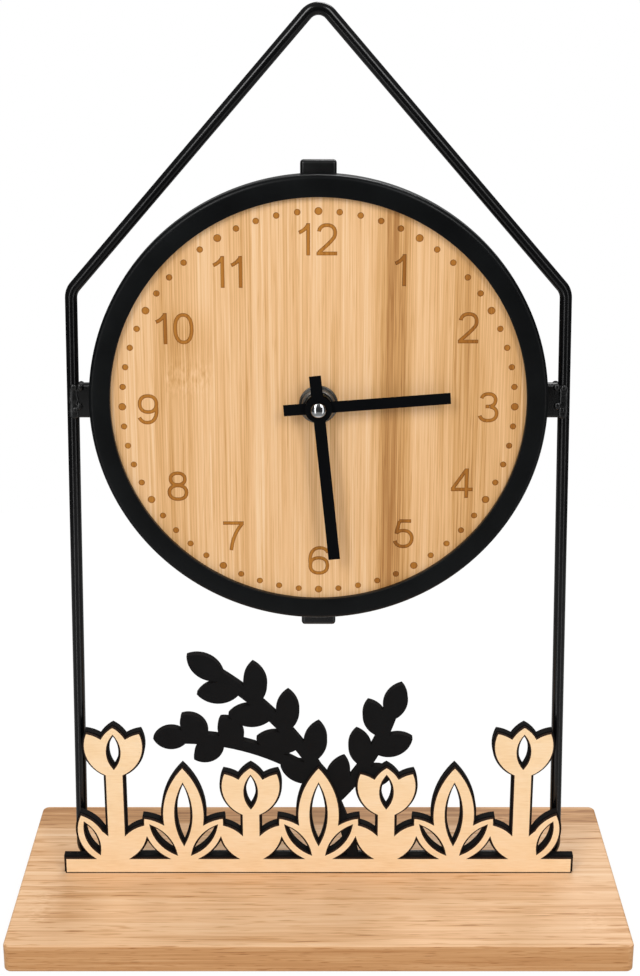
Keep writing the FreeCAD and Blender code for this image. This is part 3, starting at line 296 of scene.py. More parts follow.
def grainLayer(tree, place, width, length, detail=2.0, shift=0.0, rough=0.55):
    # noise drawn out along the grain, one blotch about width by length
    stretched = addNode(tree, "ShaderNodeMapping", {
        "Vector": place, "Location": (shift, shift, shift), "Scale": (1 / width, 1 / width, 1 / length)})
    return addNode(tree, "ShaderNodeTexNoise", {
        "Vector": stretched, "Scale": 1.0, "Detail": detail, "Roughness": rough})


def nearness(tree, value, centre, reach):
    # 1 at the centre, falling smoothly to 0 at the reach
    offset = addNode(tree, "ShaderNodeMath", {0: value, 1: centre}, operation="SUBTRACT")
    distance = addNode(tree, "ShaderNodeMath", {0: offset}, operation="ABSOLUTE")
    return addNode(tree, "ShaderNodeMapRange", {
        "Value": distance, "From Min": reach, "From Max": 0.0}, interpolation_type="SMOOTHSTEP")


def addUp(tree, total, value, weight):
    # total + value * weight
    return addNode(tree, "ShaderNodeMath", {0: value, 1: weight, 2: total}, operation="MULTIPLY_ADD")


bamboo = {
    "fibreDetail": 3.0, "fibreRough": 0.62, "fibreShift": 1.7,
    # strips and knuckles sway sideways by this much, over such a width and length
    "sway": 2.5 * mm, "swayWidth": 9 * mm, "swayLength": 45 * mm, "swayShift": 5.1,
    # a knuckle is a mottle of flecks with steep sides, and a darker stretch past it in shares of its reach
    "sideSteep": 4.0, "fleck": 0.7 * mm, "fleckLength": 2.9 * mm, "fleckShift": 7.9, "fleckMiddle": 0.53,
    "fleckDepth": 2.6, "pastCentre": 1.3, "pastReach": 1.5, "pastDepth": 0.5,
    "poreShift": 2.2, "poreStart": 0.6, "poreFull": 0.74,
    "glossSpread": 0.12, "specular": 0.35, "relief": 0.03 * mm, "reliefStrength": 0.5,
}


def bambooMaterial(name, look):
    # glued bamboo strips, planed and lacquered: long pale and honey fibres, short dark pores and now and
    # then a mottled knuckle, under a thin silky lacquer
    material, tree, shader, place = newMaterial(name)
    parts = addNode(tree, "ShaderNodeSeparateXYZ", {0: place}).node.outputs
    across, through, along = (parts[letter] for letter in look["order"])
    grain = addNode(tree, "ShaderNodeCombineXYZ", {0: across, 1: through, 2: along})
    tone = look["level"] - sum(weight for _, _, weight in look["fibres"]) / 2
    for index, (width, length, weight) in enumerate(look["fibres"]):
        fibre = grainLayer(tree, grain, width, length, bamboo["fibreDetail"], bamboo["fibreShift"] * index,
                           bamboo["fibreRough"])
        tone = addUp(tree, tone, fibre, weight)
    sway = grainLayer(tree, grain, bamboo["swayWidth"], bamboo["swayLength"], 1.0, bamboo["swayShift"])
    swayed = addUp(tree, across, sway, bamboo["sway"])
    for centre, reach, depth in look["darkStrips"]:
        tone = addUp(tree, tone, nearness(tree, swayed, centre + bamboo["sway"] / 2, reach), -depth)
    for (centreAcross, centreAlong), (reachAcross, reachAlong), depth in look["knuckles"]:
        side = nearness(tree, swayed, centreAcross, reachAcross)
        edge = addNode(tree, "ShaderNodeMath", {
            0: side, 1: bamboo["sideSteep"]}, operation="MULTIPLY", use_clamp=True)
        level = nearness(tree, along, centreAlong, reachAlong)
        inside = addNode(tree, "ShaderNodeMath", {0: edge, 1: level}, operation="MULTIPLY")
        flecks = grainLayer(tree, grain, bamboo["fleck"], bamboo["fleckLength"], 2.0, bamboo["fleckShift"])
        centred = addNode(tree, "ShaderNodeMath", {
            0: flecks, 1: bamboo["fleckMiddle"]}, operation="SUBTRACT")
        mottle = addNode(tree, "ShaderNodeMath", {0: centred, 1: inside}, operation="MULTIPLY")
        tone = addUp(tree, tone, mottle, bamboo["fleckDepth"] * depth)
        stretch = nearness(tree, along, centreAlong + bamboo["pastCentre"] * reachAlong,
                           bamboo["pastReach"] * reachAlong)
        past = addNode(tree, "ShaderNodeMath", {0: edge, 1: stretch}, operation="MULTIPLY")
        tone = addUp(tree, tone, past, -bamboo["pastDepth"] * depth)
    pores = addNode(tree, "ShaderNodeMapRange", {
        "Value": grainLayer(tree, grain, look["pore"], look["poreLength"], 1.0, bamboo["poreShift"]),
        "From Min": bamboo["poreStart"], "From Max": bamboo["poreFull"]})
    tone = addUp(tree, tone, pores, -look["poreDepth"])
    colour = addNode(tree, "ShaderNodeValToRGB", {0: tone}, look["tones"])
    # the finest fibres also steer gloss and relief
    gloss = addUp(tree, look["roughness"] - bamboo["glossSpread"] / 2, fibre, bamboo["glossSpread"])
    plug(tree, shader, {
        "Base Color": colour, "Roughness": gloss, "Specular IOR Level": bamboo["specular"]})
    addRelief(tree, shader, fibre, bamboo["relief"], bamboo["reliefStrength"])
    return material


dialBambooLook = {
    "order": "XYZ", "level": 0.605, "roughness": 0.5,
    # width, length and weight of each layer, from broad to fine
    "fibres": (
        (10 * mm, 400 * mm, 0.24), (1.8 * mm, 150 * mm, 0.34), (0.8 * mm, 90 * mm, 0.55),
        (0.4 * mm, 55 * mm, 1.05),
    ),
    "pore": 0.35 * mm, "poreLength": 14 * mm, "poreDepth": 0.16,
    # centre, reach and depth of each darker strip
    "darkStrips": (
        (-48 * mm, 11 * mm, 0.16), (-25 * mm, 5 * mm, 0.16), (24 * mm, 9 * mm, 0.46),
        (48 * mm, 6 * mm, 0.16), (58 * mm, 45 * mm, 0.15),
    ),
    # centre and reach, across and along the grain, and depth
    "knuckles": (((-41 * mm, clockCentre.z + 8.5 * mm), (9.5 * mm, 10 * mm), 0.32),),
    "tones": ((0.0, "#A8723A"), (0.3, "#CF9C60"), (0.6, "#E8B985"), (1.0, "#F6D6AE")),
}
boardBambooLook = {
    "order": "YZX", "level": 0.6, "roughness": 0.46,
    "fibres": (
        (14 * mm, 300 * mm, 0.2), (4 * mm, 130 * mm, 0.5), (2 * mm, 80 * mm, 0.7), (0.9 * mm, 45 * mm, 0.75),
    ),
    "pore": 0.8 * mm, "poreLength": 12 * mm, "poreDepth": 0.36,
    "darkStrips": ((42 * mm, 14 * mm, 0.42),),
    "knuckles": (
        ((-22 * mm, -96 * mm), (13 * mm, 8 * mm), 0.34), ((36 * mm, 68 * mm), (7 * mm, 9 * mm), 0.4),
        ((-31 * mm, 93 * mm), (9 * mm, 7 * mm), 0.25),
    ),
    "tones": ((0.0, "#A8764A"), (0.3, "#CB9866"), (0.6, "#E6BA8E"), (1.0, "#F2CFA8")),
}
# the board's sides: finer fibres, and a darker, more orange copy of the top's tones, which is painted shade
# on the sides
boardSideShadeLook = dict(
    boardBambooLook, level=0.56, knuckles=(), darkStrips=(),
    fibres=((3 * mm, 140 * mm, 0.4), (1.2 * mm, 70 * mm, 0.65), (0.5 * mm, 40 * mm, 0.75)),
    pore=0.5 * mm, poreLength=7 * mm,
    tones=((0.0, "#8A582C"), (0.3, "#B57E4B"), (0.6, "#CB9764"), (1.0, "#E2B78A")),
)
engravingLook = dict(
    dialBambooLook, level=0.55, roughness=0.75, knuckles=(),
    tones=((0.0, "#885114"), (0.35, "#A5671E"), (0.65, "#B6792B"), (1.0, "#CB9142")),
)
# walls of each cut: burnt like its floor, and darker still, which is painted shade inside the cut
engravingWallShadeLook = dict(
    dialBambooLook, level=0.5, roughness=0.8, knuckles=(),
    tones=((0.0, "#6E420F"), (0.4, "#8E5A1C"), (0.7, "#A16B28"), (1.0, "#B07B38")),
)


veneerShape = {
    "cloudStretch": 3, "detail": 2.0, "fleckShift": 4.2, "specular": 0.25, "relief": 0.02 * mm,
    "reliefStrength": 0.5,
}


def veneerMaterial(name, look):
    # poplar veneer on thin board: almost plain cream wood with faint short level flecks
    material, tree, shader, place = newMaterial(name)
    parts = addNode(tree, "ShaderNodeSeparateXYZ", {0: place}).node.outputs
    grain = addNode(tree, "ShaderNodeCombineXYZ", {0: parts["Z"], 1: parts["Y"], 2: parts["X"]})
    cloudLength, detail = look["cloud"] * veneerShape["cloudStretch"], veneerShape["detail"]
    cloud = grainLayer(tree, grain, look["cloud"], cloudLength, detail)
    fleck = grainLayer(tree, grain, look["fleck"], look["fleckLength"], detail, veneerShape["fleckShift"])
    tone = 0.5 - (look["cloudContrast"] + look["fleckContrast"]) / 2
    for layer, contrast in ((cloud, "cloudContrast"), (fleck, "fleckContrast")):
        tone = addUp(tree, tone, layer, look[contrast])
    colour = addNode(tree, "ShaderNodeValToRGB", {0: tone}, look["tones"])
    plug(tree, shader, {
        "Base Color": colour, "Roughness": look["roughness"], "Specular IOR Level": veneerShape["specular"]})
    addRelief(tree, shader, fleck, veneerShape["relief"], veneerShape["reliefStrength"])
    return material


veneerLook = {
    "cloud": 6 * mm, "cloudContrast": 0.6, "fleck": 0.5 * mm, "fleckLength": 5 * mm, "fleckContrast": 0.75,
    "roughness": 0.6, "tones": ((0.0, "#EBC38E"), (0.5, "#F9D9AE"), (1.0, "#FFE6C6")),
}
scorchLook = {
    "cloud": 2 * mm, "cloudContrast": 0.5, "fleck": 0.4 * mm, "fleckLength": 0.5 * mm, "fleckContrast": 0.4,
    "roughness": 0.85, "tones": ((0.0, "#120B07"), (0.5, "#2A1A10"), (1.0, "#4A3020")),
}


surfaceShape = {
    "driftDetail": 3.0, "gritDetail": 2.0, "from": 0.3, "to": 0.7, "glossSpread": 0.12, "coatRoughness": 0.1,
}


def surfaceMaterial(name, look):
    # one even substance: its colour and gloss drift a little, and its grit shows as relief
    material, tree, shader, place = newMaterial(name)
    drift, grit = (addNode(tree, "ShaderNodeTexNoise", {
        "Vector": place, "Scale": 1 / look[pattern],
        "Detail": surfaceShape[pattern + "Detail"]}) for pattern in ("drift", "grit"))
    start, end, spread = surfaceShape["from"], surfaceShape["to"], surfaceShape["glossSpread"]
    dark, light = look["colours"]
    colour = addNode(tree, "ShaderNodeValToRGB", {0: drift}, ((start, dark), (end, light)))
    gloss = addNode(tree, "ShaderNodeMapRange", {
        "Value": drift, "From Min": start, "From Max": end, "To Min": look["roughness"] * (1 - spread),
        "To Max": look["roughness"] * (1 + spread)})
    plug(tree, shader, {
        "Base Color": colour, "Roughness": gloss, "Metallic": look.get("metallic", 0.0),
        "Specular IOR Level": look.get("specular", 0.5), "Coat Weight": look.get("coat", 0.0),
        "Coat Roughness": surfaceShape["coatRoughness"]})
    addRelief(tree, shader, grit, look["relief"])
    return material


surfaceLooks = {
    # gloss powder coat on steel wire: deep black, faint orange peel, sharp thin highlights
    "glossEnamel": {"colours": ("#060607", "#0A0A0B"), "roughness": 0.2, "drift": 14 * mm, "grit": 1.3 * mm,
                    "relief": 0.008 * mm, "specular": 0.35},
    # the same coat where it pooled on the lugs and welds: thicker, with broader and brighter highlights
    "pooledEnamel": {"colours": ("#060607", "#090A0A"), "roughness": 0.28, "drift": 10 * mm,
                     "grit": 1.6 * mm, "relief": 0.006 * mm, "specular": 0.5},
    # satin powder coat on the turned ring: soft dark sheen, fine pebbled skin
    "satinCoat": {"colours": ("#0A0B0C", "#0E1011"), "roughness": 0.34, "drift": 18 * mm, "grit": 0.45 * mm,
                  "relief": 0.005 * mm, "specular": 0.16},
    # matt spray paint on stamped aluminium: nearly no highlight
    "mattPaint": {"colours": ("#07080A", "#0A0B0D"), "roughness": 0.7, "drift": 9 * mm, "grit": 0.3 * mm,
                  "relief": 0.004 * mm, "specular": 0.03},
    # dyed fibreboard, laser cut: dull black with a woolly grit
    "blackFibreboard": {"colours": ("#0D0D0E", "#131314"), "roughness": 0.78, "drift": 5 * mm,
                        "grit": 0.35 * mm, "relief": 0.03 * mm, "specular": 0.12},
    # cut edge of that board: charred, a little rougher and browner
    "charredEdge": {"colours": ("#0C0B0B", "#1B1715"), "roughness": 0.9, "drift": 2 * mm, "grit": 0.3 * mm,
                    "relief": 0.06 * mm, "specular": 0.15},
    # spark-eroded ABS of the movement case: black with a fine even grain
    "grainedAbs": {"colours": ("#1A1B1D", "#212225"), "roughness": 0.5, "drift": 12 * mm, "grit": 0.4 * mm,
                   "relief": 0.03 * mm},
    # smooth moulded ABS of the knob: black with a low gloss
    "smoothAbs": {"colours": ("#0F1011", "#141516"), "roughness": 0.35, "drift": 6 * mm, "grit": 0.8 * mm,
                  "relief": 0.006 * mm},
    # nitrile rubber washer: dull, slightly bloomed
    "nitrileRubber": {"colours": ("#151515", "#1F1F1E"), "roughness": 0.8, "drift": 3 * mm, "grit": 0.3 * mm,
                      "relief": 0.01 * mm, "specular": 0.2},
    # bright zinc on small steel fasteners: bluish, softly mirrored
    "zincPlate": {"colours": ("#A9ADB0", "#C6C9CB"), "roughness": 0.32, "metallic": 1.0, "drift": 1.2 * mm,
                  "grit": 0.25 * mm, "relief": 0.004 * mm},
    # white acetal of the train: waxy ivory white
    "whiteAcetal": {"colours": ("#E6E4DC", "#EFEDE6"), "roughness": 0.4, "drift": 6 * mm, "grit": 0.5 * mm,
                    "relief": 0.004 * mm},
    # black acetal of the hour wheel: waxy black
    "blackAcetal": {"colours": ("#121213", "#19191A"), "roughness": 0.38, "drift": 6 * mm, "grit": 0.5 * mm,
                    "relief": 0.004 * mm},
    # nickel on the sintered rotor magnet: warm grey mirror
    "nickelPlate": {"colours": ("#B0ABA2", "#C4BFB6"), "roughness": 0.25, "metallic": 1.0, "drift": 1.5 * mm,
                    "grit": 0.3 * mm, "relief": 0.003 * mm},
    # annealed soft iron of the stator: dull blue-grey
    "annealedIron": {"colours": ("#6C6E72", "#85878B"), "roughness": 0.45, "metallic": 1.0, "drift": 3 * mm,
                     "grit": 0.3 * mm, "relief": 0.008 * mm},
    # enamelled copper wire: orange-brown with a glassy skin
    "enamelledCopper": {"colours": ("#9A4A22", "#B45C2C"), "roughness": 0.25, "metallic": 0.9,
                        "drift": 2 * mm, "grit": 0.4 * mm, "relief": 0.004 * mm, "coat": 0.4},
    # glass-epoxy laminate: clouded green with a low gloss
    "greenLaminate": {"colours": ("#1E5A34", "#286B40"), "roughness": 0.35, "drift": 1.5 * mm,
                      "grit": 0.5 * mm, "relief": 0.008 * mm},
    # drawn steel can of the crystal: soft grey mirror
    "drawnCan": {"colours": ("#A6A8A8", "#BDBFBF"), "roughness": 0.28, "metallic": 1.0, "drift": 2 * mm,
                 "grit": 0.2 * mm, "relief": 0.004 * mm},
    # nickel-plated spring steel of the battery contacts: warm, softly mirrored
    "contactSteel": {"colours": ("#AFAEA8", "#C6C5BF"), "roughness": 0.3, "metallic": 1.0, "drift": 2.5 * mm,
                     "grit": 0.3 * mm, "relief": 0.004 * mm},
    # turned brass of the pipes: yellow and bright
    "turnedBrass": {"colours": ("#B8924A", "#CBA75C"), "roughness": 0.28, "metallic": 1.0, "drift": 2 * mm,
                    "grit": 0.2 * mm, "relief": 0.004 * mm},
    # polished chrome-plated steel of the cap nut: a near mirror
    "polishedChrome": {"colours": ("#B4B6B8", "#BEC0C2"), "roughness": 0.12, "metallic": 1.0,
                       "drift": 2 * mm, "grit": 0.6 * mm, "relief": 0.002 * mm},
}


def turnedSteelMaterial(name, look):
    # steel faced on a lathe: fine rings round the spindle, in relief and gloss; the dark and pale circles
    # where they catch the light are painted into the colour, a painted sheen
    material, tree, shader, place = newMaterial(name)
    centred = addNode(tree, "ShaderNodeMapping", {
        "Vector": place, "Location": -clockCentre, "Scale": (1.0, 0.0, 1.0)})
    radius = addNode(tree, "ShaderNodeVectorMath", {0: centred}, output="Value", operation="LENGTH")
    rings = addNode(tree, "ShaderNodeTexNoise", {
        "W": radius, "Scale": 1 / look["ring"], "Detail": look["detail"]}, noise_dimensions="1D")
    # painted sheen: the rings' dark and pale circles set the colour
    colour = addNode(tree, "ShaderNodeValToRGB", {0: rings}, look["tones"])
    gloss = addUp(tree, look["roughness"] - look["glossSpread"] / 2, rings, look["glossSpread"])
    plug(tree, shader, {"Base Color": colour, "Roughness": gloss, "Metallic": 1.0})
    addRelief(tree, shader, rings, look["relief"])
    return material


turnedSteelLook = {
    "ring": 0.28 * mm, "detail": 2.0, "roughness": 0.34, "glossSpread": 0.2, "relief": 0.02 * mm,
    "tones": ((0.3, "#55524E"), (0.5, "#8A8782"), (0.7, "#B4B1AC")),
}


def cellSleeveMaterial(name, look):
    # printed shrink sleeve over a dry cell: pale grey with a teal shoulder, bare steel at both ends
    material, tree, shader, place = newMaterial(name)
    parts = addNode(tree, "ShaderNodeSeparateXYZ", {0: place}).node.outputs
    low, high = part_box("battery_cell")
    share = addNode(tree, "ShaderNodeMapRange", {
        "Value": parts["X"], "From Min": low.x, "From Max": high.x})
    for socket in ("Base Color", "Metallic"):
        bands = addNode(tree, "ShaderNodeValToRGB", {0: share}, look[socket])
        bands.node.color_ramp.interpolation = "CONSTANT"
        plug(tree, shader, {socket: bands})
    plug(tree, shader, {"Roughness": look["roughness"], "Coat Weight": look["coat"]})
    addRelief(tree, shader, grainLayer(tree, place, look["crease"], look["crease"]), look["relief"])
    return material


cellSleeveLook = {
    "crease": 3 * mm, "roughness": 0.3, "coat": 0.3, "relief": 0.02 * mm,
    # colours and bare metal, as shares of the cell's length
    "Base Color": ((0.0, "#B9BBBC"), (0.02, "#D8DADB"), (0.72, "#2E6E78"), (0.955, "#B9BBBC")),
    "Metallic": ((0.0, "#FFFFFF"), (0.02, "#000000"), (0.955, "#FFFFFF")),
}

finish = {}
for make, looks in (
        (surfaceMaterial, surfaceLooks),
        (bambooMaterial, {
            "dialBamboo": dialBambooLook, "engravedFloor": engravingLook, "engravedWall": engravingWallShadeLook,
            "boardBamboo": boardBambooLook, "boardEdgeBamboo": boardSideShadeLook}),
        (veneerMaterial, {"poplarVeneer": veneerLook, "scorchedVeneer": scorchLook}),
        (turnedSteelMaterial, {"turnedSteel": turnedSteelLook}),
        (cellSleeveMaterial, {"cellSleeve": cellSleeveLook})):
    for name, look in looks.items():
        finish[name] = make(name, look)
print("finishes made:", len(finish))


def makeSoftened(shapes):
    # pieces that only have their edges rounded: name, rounding, finish and, for some, the corner in degrees
    for node, (name, edge, surface, *corner) in shapes.items():
        settle(softened(node, name, edge, [finish[surface]], *corner), node)


# board

boardShape = {"soften": 0.25 * mm, "sideLimit": 0.55}


def makeBoard():
    board = softened("base_board", "baseBoard", boardShape["soften"],
                     [finish["boardBamboo"], finish["boardEdgeBamboo"]])
    # faces that turn away from the top take the darker copy: painted shade on the sides
    for face in board.data.polygons:
        face.material_index = 1 if abs(face.normal.z) < boardShape["sideLimit"] else 0
    settle(board, "base_board")


makeBoard()
print("board made")


# wire frame, one closed loop with tangent bends

wireShape = {
    "footWidth": 170 * mm, "eaveWidth": 160 * mm, "eaveHeight": 207 * mm, "apexHeight": 298 * mm,
    "bend": 6 * mm, "apexBend": 5 * mm, "bendSteps": 14, "round": 28,
}


def wireTree():
    tree, given = newTree("bentWire", (
        ("Wire Diameter", "Float"), ("Bend Radius", "Float"), ("Apex Bend Radius", "Float"),
        ("Apex Point", "Int"), ("Bend Steps", "Int"), ("Round Steps", "Int"), ("Finish", "Material")))
    path = addNode(tree, "GeometryNodeMeshToCurve", {0: given["Geometry"]})
    index = addNode(tree, "GeometryNodeInputIndex")
    isApex = addNode(tree, "FunctionNodeCompare", {2: index, 3: given["Apex Point"]},
                     data_type="INT", operation="EQUAL")
    radius = addNode(tree, "GeometryNodeSwitch", {
        0: isApex, 1: given["Bend Radius"], 2: given["Apex Bend Radius"]}, input_type="FLOAT")
    bent = addNode(tree, "GeometryNodeFilletCurve", {
        "Curve": path, "Radius": radius, "Count": given["Bend Steps"]}, mode="POLY")
    half = addNode(tree, "ShaderNodeMath", {0: given["Wire Diameter"], 1: 2.0}, operation="DIVIDE")
    section = addNode(tree, "GeometryNodeCurvePrimitiveCircle", {
        "Resolution": given["Round Steps"], "Radius": half})
    wire = addNode(tree, "GeometryNodeCurveToMesh", {"Curve": bent, "Profile Curve": section})
    return closeTree(tree, wire, given["Finish"])


def makeWireFrame():
    low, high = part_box("wire_frame")
    diameter = high.y - low.y
    y, barZ = (low.y + high.y) / 2, low.z + diameter / 2
    foot, eave = wireShape["footWidth"] / 2, wireShape["eaveWidth"] / 2
    eaveZ, apexZ = barZ + wireShape["eaveHeight"], barZ + wireShape["apexHeight"]
    corners = [(-foot, y, barZ), (-eave, y, eaveZ), (0, y, apexZ), (eave, y, eaveZ), (foot, y, barZ)]
    loop = [(index, (index + 1) % len(corners)) for index in range(len(corners))]
    wire = grow("wireFrame", wireTree(), {
        "Wire Diameter": diameter, "Bend Radius": wireShape["bend"],
        "Apex Bend Radius": wireShape["apexBend"], "Apex Point": len(corners) // 2,
        "Bend Steps": wireShape["bendSteps"], "Round Steps": wireShape["round"],
        "Finish": finish["glossEnamel"]}, corners, loop)
    settle(wire, "wire_frame")
    return diameter


wireDiameter = makeWireFrame()


def wireCentreX(height):
    # how far out the leg's centre line is at a height
    foot, eave = wireShape["footWidth"] / 2, wireShape["eaveWidth"] / 2
    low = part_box("wire_frame")[0].z + wireDiameter / 2
    return foot + (eave - foot) * (height - low) / wireShape["eaveHeight"]


print("wire frame made")


# weld beads, rows of overlapping ripples

weldShape = {
    # each ripple is a squat ball of its own size; lumps run across them all
    "ripple": 0.6 * mm, "seed": 4, "ballSteps": 3, "smallest": 0.75, "largest": 1.1,
    "lumpSize": 2.4 * mm, "lumpHeight": 0.22 * mm, "lumpDetail": 1.0,
    "seamBead": 1.6 * mm, "seamFlat": 0.3, "seamAside": 0.35 * mm, "seamInset": 1.5 * mm,
    "spotBead": 1.15 * mm, "spotFlat": 0.55, "spotLength": 0.4 * mm, "forward": 0.12 * mm,
    # blobs where the bead started and ended: inwards from the wire's middle, down from the lug's top
    "spots": ((0.5 * mm, 1 * mm), (2.7 * mm, 0.9 * mm), (0.7 * mm, 8.6 * mm), (2.2 * mm, 7.2 * mm)),
}


def weldTree():
    tree, given = newTree("weldBead", (
        ("Ripple Pitch", "Float"), ("Bead Radius", "Float"), ("Flatness", "Float"), ("Lump Size", "Float"),
        ("Lump Height", "Float"), ("Seed", "Int"), ("Finish", "Material")))
    path = addNode(tree, "GeometryNodeMeshToCurve", {0: given["Geometry"]})
    steps = addNode(tree, "GeometryNodeResampleCurve", {
        "Curve": path, "Length": given["Ripple Pitch"]}, mode="LENGTH")
    spots = addNode(tree, "GeometryNodeCurveToPoints", {"Curve": steps}, mode="EVALUATED")
    ripple = addNode(tree, "GeometryNodeMeshIcoSphere", {
        "Radius": given["Bead Radius"], "Subdivisions": weldShape["ballSteps"]})
    squat = addNode(tree, "ShaderNodeCombineXYZ", {0: 1.0, 1: given["Flatness"], 2: 1.0})
    uneven = addNode(tree, "FunctionNodeRandomValue", {
        2: weldShape["smallest"], 3: weldShape["largest"], "Seed": given["Seed"]},
        output=1, data_type="FLOAT")
    size = addNode(tree, "ShaderNodeVectorMath", {0: squat, "Scale": uneven}, operation="SCALE")
    beads = addNode(tree, "GeometryNodeInstanceOnPoints", {
        "Points": spots, "Instance": ripple, "Scale": size})
    whole = addNode(tree, "GeometryNodeRealizeInstances", {0: beads})
    scale = addNode(tree, "ShaderNodeMath", {0: 1.0, 1: given["Lump Size"]}, operation="DIVIDE")
    lumps = addNode(tree, "ShaderNodeTexNoise", {"Scale": scale, "Detail": weldShape["lumpDetail"]})
    centred = addNode(tree, "ShaderNodeMath", {0: lumps, 1: 0.5}, operation="SUBTRACT")
    lift = addNode(tree, "ShaderNodeMath", {0: centred, 1: given["Lump Height"]}, operation="MULTIPLY")
    normal = addNode(tree, "GeometryNodeInputNormal")
    push = addNode(tree, "ShaderNodeVectorMath", {0: normal, "Scale": lift}, operation="SCALE")
    lumpy = addNode(tree, "GeometryNodeSetPosition", {"Geometry": whole, "Offset": push})
    return closeTree(tree, lumpy, given["Finish"])


def makeWelds():
    # where wire and lug touch, front and back: a full seam, and the blobs where the bead started and ended
    seams, spots = [], []
    for side, node in ((-1, "left_lug"), (1, "right_lug")):
        low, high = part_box(node)
        middle = wireCentreX(clockCentre.z)
        for y in (low.y - weldShape["forward"], high.y + weldShape["forward"]):
            x = side * (middle - weldShape["seamAside"])
            seams += [(x, y, low.z + weldShape["seamInset"]), (x, y, high.z - weldShape["seamInset"])]
            for aside, down in weldShape["spots"]:
                x = side * (middle - aside)
                spots += [(x, y, high.z - down), (x, y, high.z - down - weldShape["spotLength"])]
    bead = weldTree()
    for name, points, radius, flat in (("seamWelds", seams, "seamBead", "seamFlat"),
                                       ("spotWelds", spots, "spotBead", "spotFlat")):
        edges = [(start, start + 1) for start in range(0, len(points), 2)]
        weld = grow(name, bead, {
            "Ripple Pitch": weldShape["ripple"], "Bead Radius": weldShape[radius],
            "Flatness": weldShape[flat], "Lump Size": weldShape["lumpSize"],
            "Lump Height": weldShape["lumpHeight"], "Seed": weldShape["seed"],
            "Finish": finish["pooledEnamel"]}, points, edges)
        attach(weld, "wire_frame")


makeWelds()
print("welds made")


# lugs that carry the clock

lugShape = {
    "corner": 1.1 * mm, "steps": 5, "edge": 1.5 * mm, "edgeSteps": 4, "edgeCorner": 60, "smooth": 40,
    "screwHead": 4 * mm, "hole": 2.5 * mm, "holeSteps": 32,
}


def makeLug(node):
    # a strap with rounded corners and rims, and a hole for its screw
    low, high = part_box(node)
    corner, steps = lugShape["corner"], lugShape["steps"]
    outline = []
    for x, z, start in ((high.x - corner, high.z - corner, 0), (low.x + corner, high.z - corner, 90),
                        (low.x + corner, low.z + corner, 180), (high.x - corner, low.z + corner, 270)):
        outline += arcPoints((x, z), (corner, corner), start, start + 90, steps)
    work = bmesh.new()
    front, back = ([work.verts.new((x, y, z)) for x, z in outline] for y in (low.y, high.y))
    work.faces.new(front)
    work.faces.new(back)
    for index in range(len(outline)):
        after = (index + 1) % len(outline)
        work.faces.new((front[index], front[after], back[after], back[index]))
    lug = newPiece(node.replace("_lug", "Lug"), meshOf(node, work, [finish["pooledEnamel"]]))
    rim = lug.modifiers.new("rim", "BEVEL")
    rim.width, rim.segments = lugShape["edge"], lugShape["edgeSteps"]
    rim.limit_method, rim.angle_limit = "ANGLE", math.radians(lugShape["edgeCorner"])
    flatten(lug)
    screwLow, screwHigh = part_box("dial_screws")
    reach = (screwHigh.x - screwLow.x - lugShape["screwHead"]) / 2
    # the lug lies straight out from the spindle, level or upright, and its hole with it
    out = (low + high) / 2 - clockCentre
    longest = max(abs(out.x), abs(out.z))
    along = Vector((round(out.x / longest), 0, round(out.z / longest)))
    centre = clockCentre + along * reach + Vector((0, high.y, 0))
    work = bmesh.new()
    bmesh.ops.create_cone(
        work, cap_ends=True, segments=lugShape["holeSteps"], radius1=lugShape["hole"] / 2,
        radius2=lugShape["hole"] / 2, depth=4 * (high.y - low.y),
        matrix=Matrix.Translation(centre) @ Matrix.Rotation(math.pi / 2, 4, "X"))
    carve(lug, newPiece("drill", meshOf("drill", work, [finish["pooledEnamel"]])))
    settle(shade(lug, lugShape["smooth"]), node)


for lugNode in ("left_lug", "right_lug", "top_lug", "bottom_lug"):
    makeLug(lugNode)
print("lugs made")


# clock ring, turned

ringShape = {
    "lipWidth": 7 * mm, "wall": 2 * mm, "lipThickness": 2 * mm, "turns": 240, "smooth": 40,
    # radius and steps of the rounded edges: front rim, round the opening, all others
    "outer": (1.4 * mm, 8), "inner": (0.3 * mm, 4), "back": (0.2 * mm, 3),
}


def makeRing():
    front, back = ringLow.y, ringHigh.y
    outer = (ringHigh.x - ringLow.x) / 2
    inner, seat = outer - ringShape["lipWidth"], outer - ringShape["wall"]
    (big, bigSteps), (small, smallSteps), (tiny, tinySteps) = (
        ringShape[edge] for edge in ("outer", "inner", "back"))
    shelf = front + ringShape["lipThickness"]
    profile = arcPoints((outer - big, front + big), (big, big), -90, 0, bigSteps)
    profile += arcPoints((outer - tiny, back - tiny), (tiny, tiny), 0, 90, tinySteps)
    profile += arcPoints((seat + tiny, back - tiny), (tiny, tiny), 90, 180, tinySteps)
    profile += [(seat, shelf)]
    profile += arcPoints((inner + tiny, shelf - tiny), (tiny, tiny), 90, 180, tinySteps)
    profile += arcPoints((inner + small, front + small), (small, small), 180, 270, smallSteps)
    ring = lathe("clockRing", profile, ringShape["turns"], [finish["satinCoat"]])
    settle(shade(ring, ringShape["smooth"]), "clock_ring")


makeRing()
print("clock ring made")


# dial with engraved numbers and minute dots

dialShape = {
    "dots": 60, "dotsPerHour": 5, "dotSteps": 28, "dotRing": 64.2 * mm, "hourDot": 1.28 * mm,
    "minuteDot": 1.04 * mm, "depth": 0.28 * mm, "wallSlope": 0.16 * mm, "clear": 0.15 * mm,
    "height": 10.3 * mm, "stroke": 1.22 * mm, "spacing": 0.19, "bulge": 0.88, "drop": 0.85 * mm,
    "curveSteps": 10, "arcStep": 9, "fewestSteps": 6, "floorFacing": 0.9, "smooth": 25,
    # where each number stands: millimetres from the centre and degrees off its hour
    "places": {
        1: (52.3, 0), 2: (55.1, 1.3), 3: (55.7, 0.2), 4: (54.4, -1), 5: (52.5, -2.6), 6: (53.8, 0),
        7: (53.2, 2.3), 8: (54.2, -0.4), 9: (55.7, -0.9), 10: (53.3, -0.6), 11: (53.3, -3), 12: (55.2, -0.2),
    },
}
dialCentre = clockCentre - Vector((0, 0, dialShape["drop"]))


